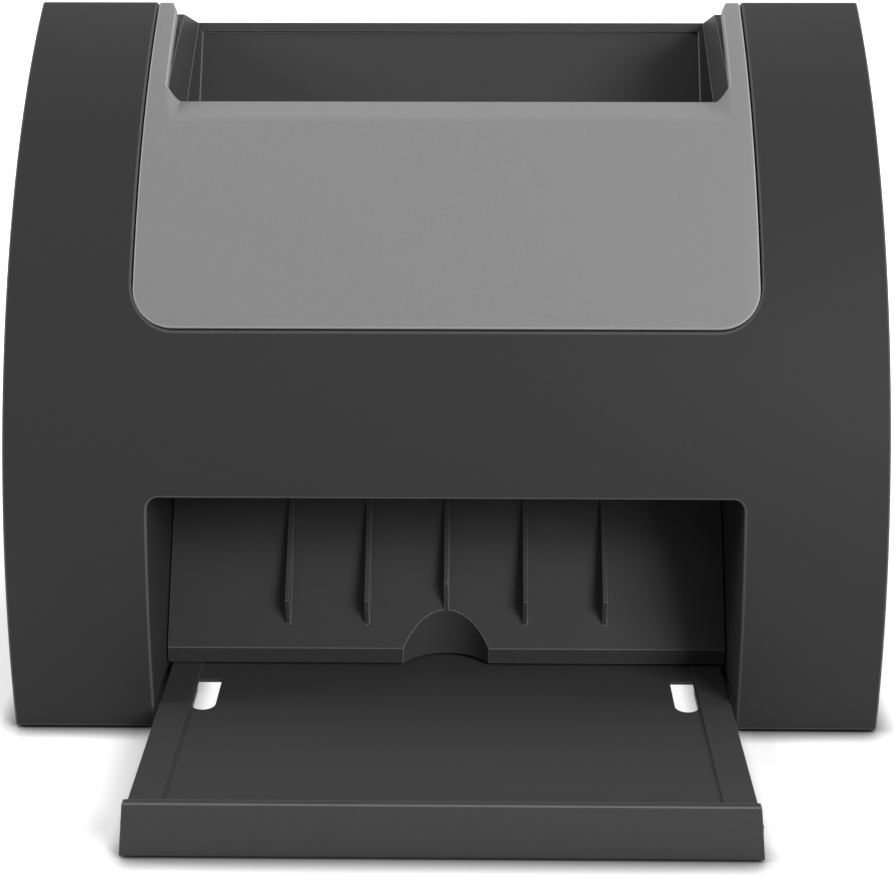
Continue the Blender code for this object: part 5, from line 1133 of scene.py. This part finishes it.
# %% White sheet
PAPER = linear("F4F4F4")
WHITE = linear("FFFFFF")
FLOOR_HALF = 3.0
SHADOW_REACH = 100 * MM
SHADOW_FADE = 60 * MM
NEAR_LIFT = 0.3
FAR_LIFT = 1.0
TRAY_MIDDLE = (0.0, -30 * MM, 0.0)
TRAY_HALF = (53 * MM, 22 * MM, 1.0)
TRAY_LIFT = 0.95
TRAY_FADE_FROM = 0.9
CONTACT_REACH = 5 * MM
CONTACT_DEPTH = 2.3
CONTACT_SAMPLES = 16


def looked_at(tree):
    """Whether a surface is seen, directly, through glass or in metal, and isn't just lighting."""
    path = add_node(tree, "ShaderNodeLightPath")
    straight = add_node(tree, "ShaderNodeMath", {
        0: path.outputs["Is Camera Ray"], 1: path.outputs["Is Transmission Ray"],
    }, operation="MAXIMUM")
    return add_node(tree, "ShaderNodeMath", {
        0: straight.outputs[0], 1: path.outputs["Is Glossy Ray"],
    }, operation="MAXIMUM").outputs[0]


def white_sheet(name):
    """Matt white paper: it keeps the object's shadow, gets a painted contact shadow and painted
    light under the tray, and is white away from it.
    """
    material, tree = blank_material(name)
    place = add_node(tree, "ShaderNodeTexCoord")
    away = add_node(tree, "ShaderNodeVectorMath", {0: place.outputs["Object"]}, operation="LENGTH")
    lift = add_node(tree, "ShaderNodeMapRange", {
        "Value": away.outputs["Value"], "From Min": SHADOW_REACH,
        "From Max": SHADOW_REACH + SHADOW_FADE, "To Min": NEAR_LIFT, "To Max": FAR_LIFT,
    })
    # Painted contact shadow: the sheet darkens where ambient occlusion finds the object close by
    open_sky = add_node(tree, "ShaderNodeAmbientOcclusion", {
        "Distance": CONTACT_REACH,
    }, samples=CONTACT_SAMPLES)
    contact = add_node(tree, "ShaderNodeMath", {
        0: open_sky.outputs["AO"], 1: CONTACT_DEPTH,
    }, operation="POWER")
    open_lift = add_node(tree, "ShaderNodeMath", {
        0: lift.outputs["Result"], 1: contact.outputs[0],
    }, operation="MULTIPLY")
    from_tray = add_node(tree, "ShaderNodeVectorMath", {
        0: place.outputs["Object"], 1: TRAY_MIDDLE,
    }, operation="SUBTRACT")
    size = add_node(tree, "ShaderNodeVectorMath", {
        0: from_tray.outputs["Vector"], 1: TRAY_HALF,
    }, operation="DIVIDE")
    either_way = add_node(tree, "ShaderNodeVectorMath", {
        0: size.outputs["Vector"],
    }, operation="ABSOLUTE")
    apart = add_node(tree, "ShaderNodeSeparateXYZ", {"Vector": either_way.outputs["Vector"]})
    edge = add_node(tree, "ShaderNodeMath", {
        0: apart.outputs["X"], 1: apart.outputs["Y"],
    }, operation="MAXIMUM")
    # Painted light under the tray: the shade there is lifted to white
    under_tray = add_node(tree, "ShaderNodeMapRange", {
        "Value": edge.outputs[0], "From Min": TRAY_FADE_FROM, "From Max": 1.0,
        "To Min": TRAY_LIFT, "To Max": 0.0,
    })
    strength = add_node(tree, "ShaderNodeMath", {
        0: open_lift.outputs[0], 1: under_tray.outputs["Result"],
    }, operation="MAXIMUM")
    paper = add_node(tree, "ShaderNodeBsdfDiffuse", {"Color": PAPER})
    glow = add_node(tree, "ShaderNodeEmission", {"Color": WHITE, "Strength": strength.outputs[0]})
    shaded = add_node(tree, "ShaderNodeVectorMath", {
        0: PAPER[:3], "Scale": contact.outputs[0],
    }, operation="SCALE")
    paper_seen = add_node(tree, "ShaderNodeBsdfDiffuse", {"Color": shaded.outputs["Vector"]})
    lifted = add_node(tree, "ShaderNodeAddShader", {0: paper_seen.outputs[0], 1: glow.outputs[0]})
    seen = add_node(tree, "ShaderNodeMixShader", {
        0: looked_at(tree), 1: paper.outputs[0], 2: lifted.outputs[0],
    })
    add_node(tree, "ShaderNodeOutputMaterial", {"Surface": seen.outputs[0]})
    return material


sheet_shape = bmesh.new()
bmesh.ops.create_grid(sheet_shape, x_segments=1, y_segments=1, size=FLOOR_HALF)
sheet = new_piece("paper_floor", sheet_shape, white_sheet("white_paper"))
print("sheet", round(2 * FLOOR_HALF), "m wide")

# %% White room
ROOM_FILL = 0.05

room = bpy.data.worlds.new("white_room")
bpy.context.scene.world = room
room.use_nodes = True
room.node_tree.nodes.clear()
white = add_node(room.node_tree, "ShaderNodeBackground", {"Color": WHITE, "Strength": 1.0})
fill = add_node(room.node_tree, "ShaderNodeBackground", {"Color": WHITE, "Strength": ROOM_FILL})
walls = add_node(room.node_tree, "ShaderNodeMixShader", {
    0: looked_at(room.node_tree), 1: fill.outputs[0], 2: white.outputs[0],
})
add_node(room.node_tree, "ShaderNodeOutputWorld", {"Surface": walls.outputs[0]})
print("room fill", ROOM_FILL)

# %% [markdown]
# ## Light
# Four large soft boxes, as in a product studio. One on each side reaches into the hopper and the
# recess, so that their walls stay readable. The third stands in front on the right, which makes
# the right half of the front a little paler, and a weak one above the rear draws the upper edges
# and the sloped face of the cover. Large boxes leave only broad, soft highlights.

# %% Four soft boxes
BOX_SIZE = 0.6
AIM = Vector((0.0, 0.0, 0.05))
SOFT_BOXES = {
    "front_box": ((0.75, -0.85, 0.65), 14.2), "left_box": ((-1.2, 0.0, 0.6), 15.0),
    "right_box": ((1.2, 0.0, 0.6), 9.0), "rear_box": ((0.0, 0.6, 1.1), 3.2),
}


def soft_box(name, place, power):
    """A square lamp that faces the object."""
    lamp = bpy.data.lights.new(name, "AREA")
    lamp.shape = "SQUARE"
    lamp.size = BOX_SIZE
    lamp.energy = power
    stand = bpy.data.objects.new(name, lamp)
    stand.location = place
    stand.rotation_euler = (AIM - Vector(place)).to_track_quat("-Z", "Y").to_euler()
    bpy.context.scene.collection.objects.link(stand)
    return stand


boxes = [soft_box(name, place, power) for name, (place, power) in SOFT_BOXES.items()]
print(len(boxes), "soft boxes,", round(sum(box.data.energy for box in boxes), 1), "W in all")

# %% [markdown]
# ## Camera
# The photograph was taken from straight in front and about twenty degrees above, with a long lens.
# The lens and place below were found by matching the corners of the body, tray and cover.

# %% Camera
LENS = 72.48
CAMERA_PLACE = (0.0046, -0.34035, 0.1773)
CAMERA_PITCH = math.radians(-20.68)
CAMERA_YAW = math.radians(0.767)
CAMERA_ROLL = math.radians(-0.049)
CLIP_START = 10 * MM

camera_data = bpy.data.cameras.new("photo_camera")
camera_data.lens = LENS
camera_data.clip_start = CLIP_START
camera = bpy.data.objects.new("photo_camera", camera_data)
camera.location = CAMERA_PLACE
camera.rotation_euler = Euler((math.pi / 2 + CAMERA_PITCH, 0.0, CAMERA_YAW))
camera.rotation_euler.rotate_axis("Z", CAMERA_ROLL)
bpy.context.scene.collection.objects.link(camera)
bpy.context.scene.camera = camera
bpy.context.scene.view_settings.view_transform = "Standard"
print("camera", round(CAMERA_PLACE[2] / MM), "mm up")

# %% [markdown]
# ## Hand over
# Last, we print how large the imported model was, and pass the scene on.

# %% Sizes and hand over
print("model", [round((high - low) / MM, 2) for low, high in zip(*MODEL_BOX)])
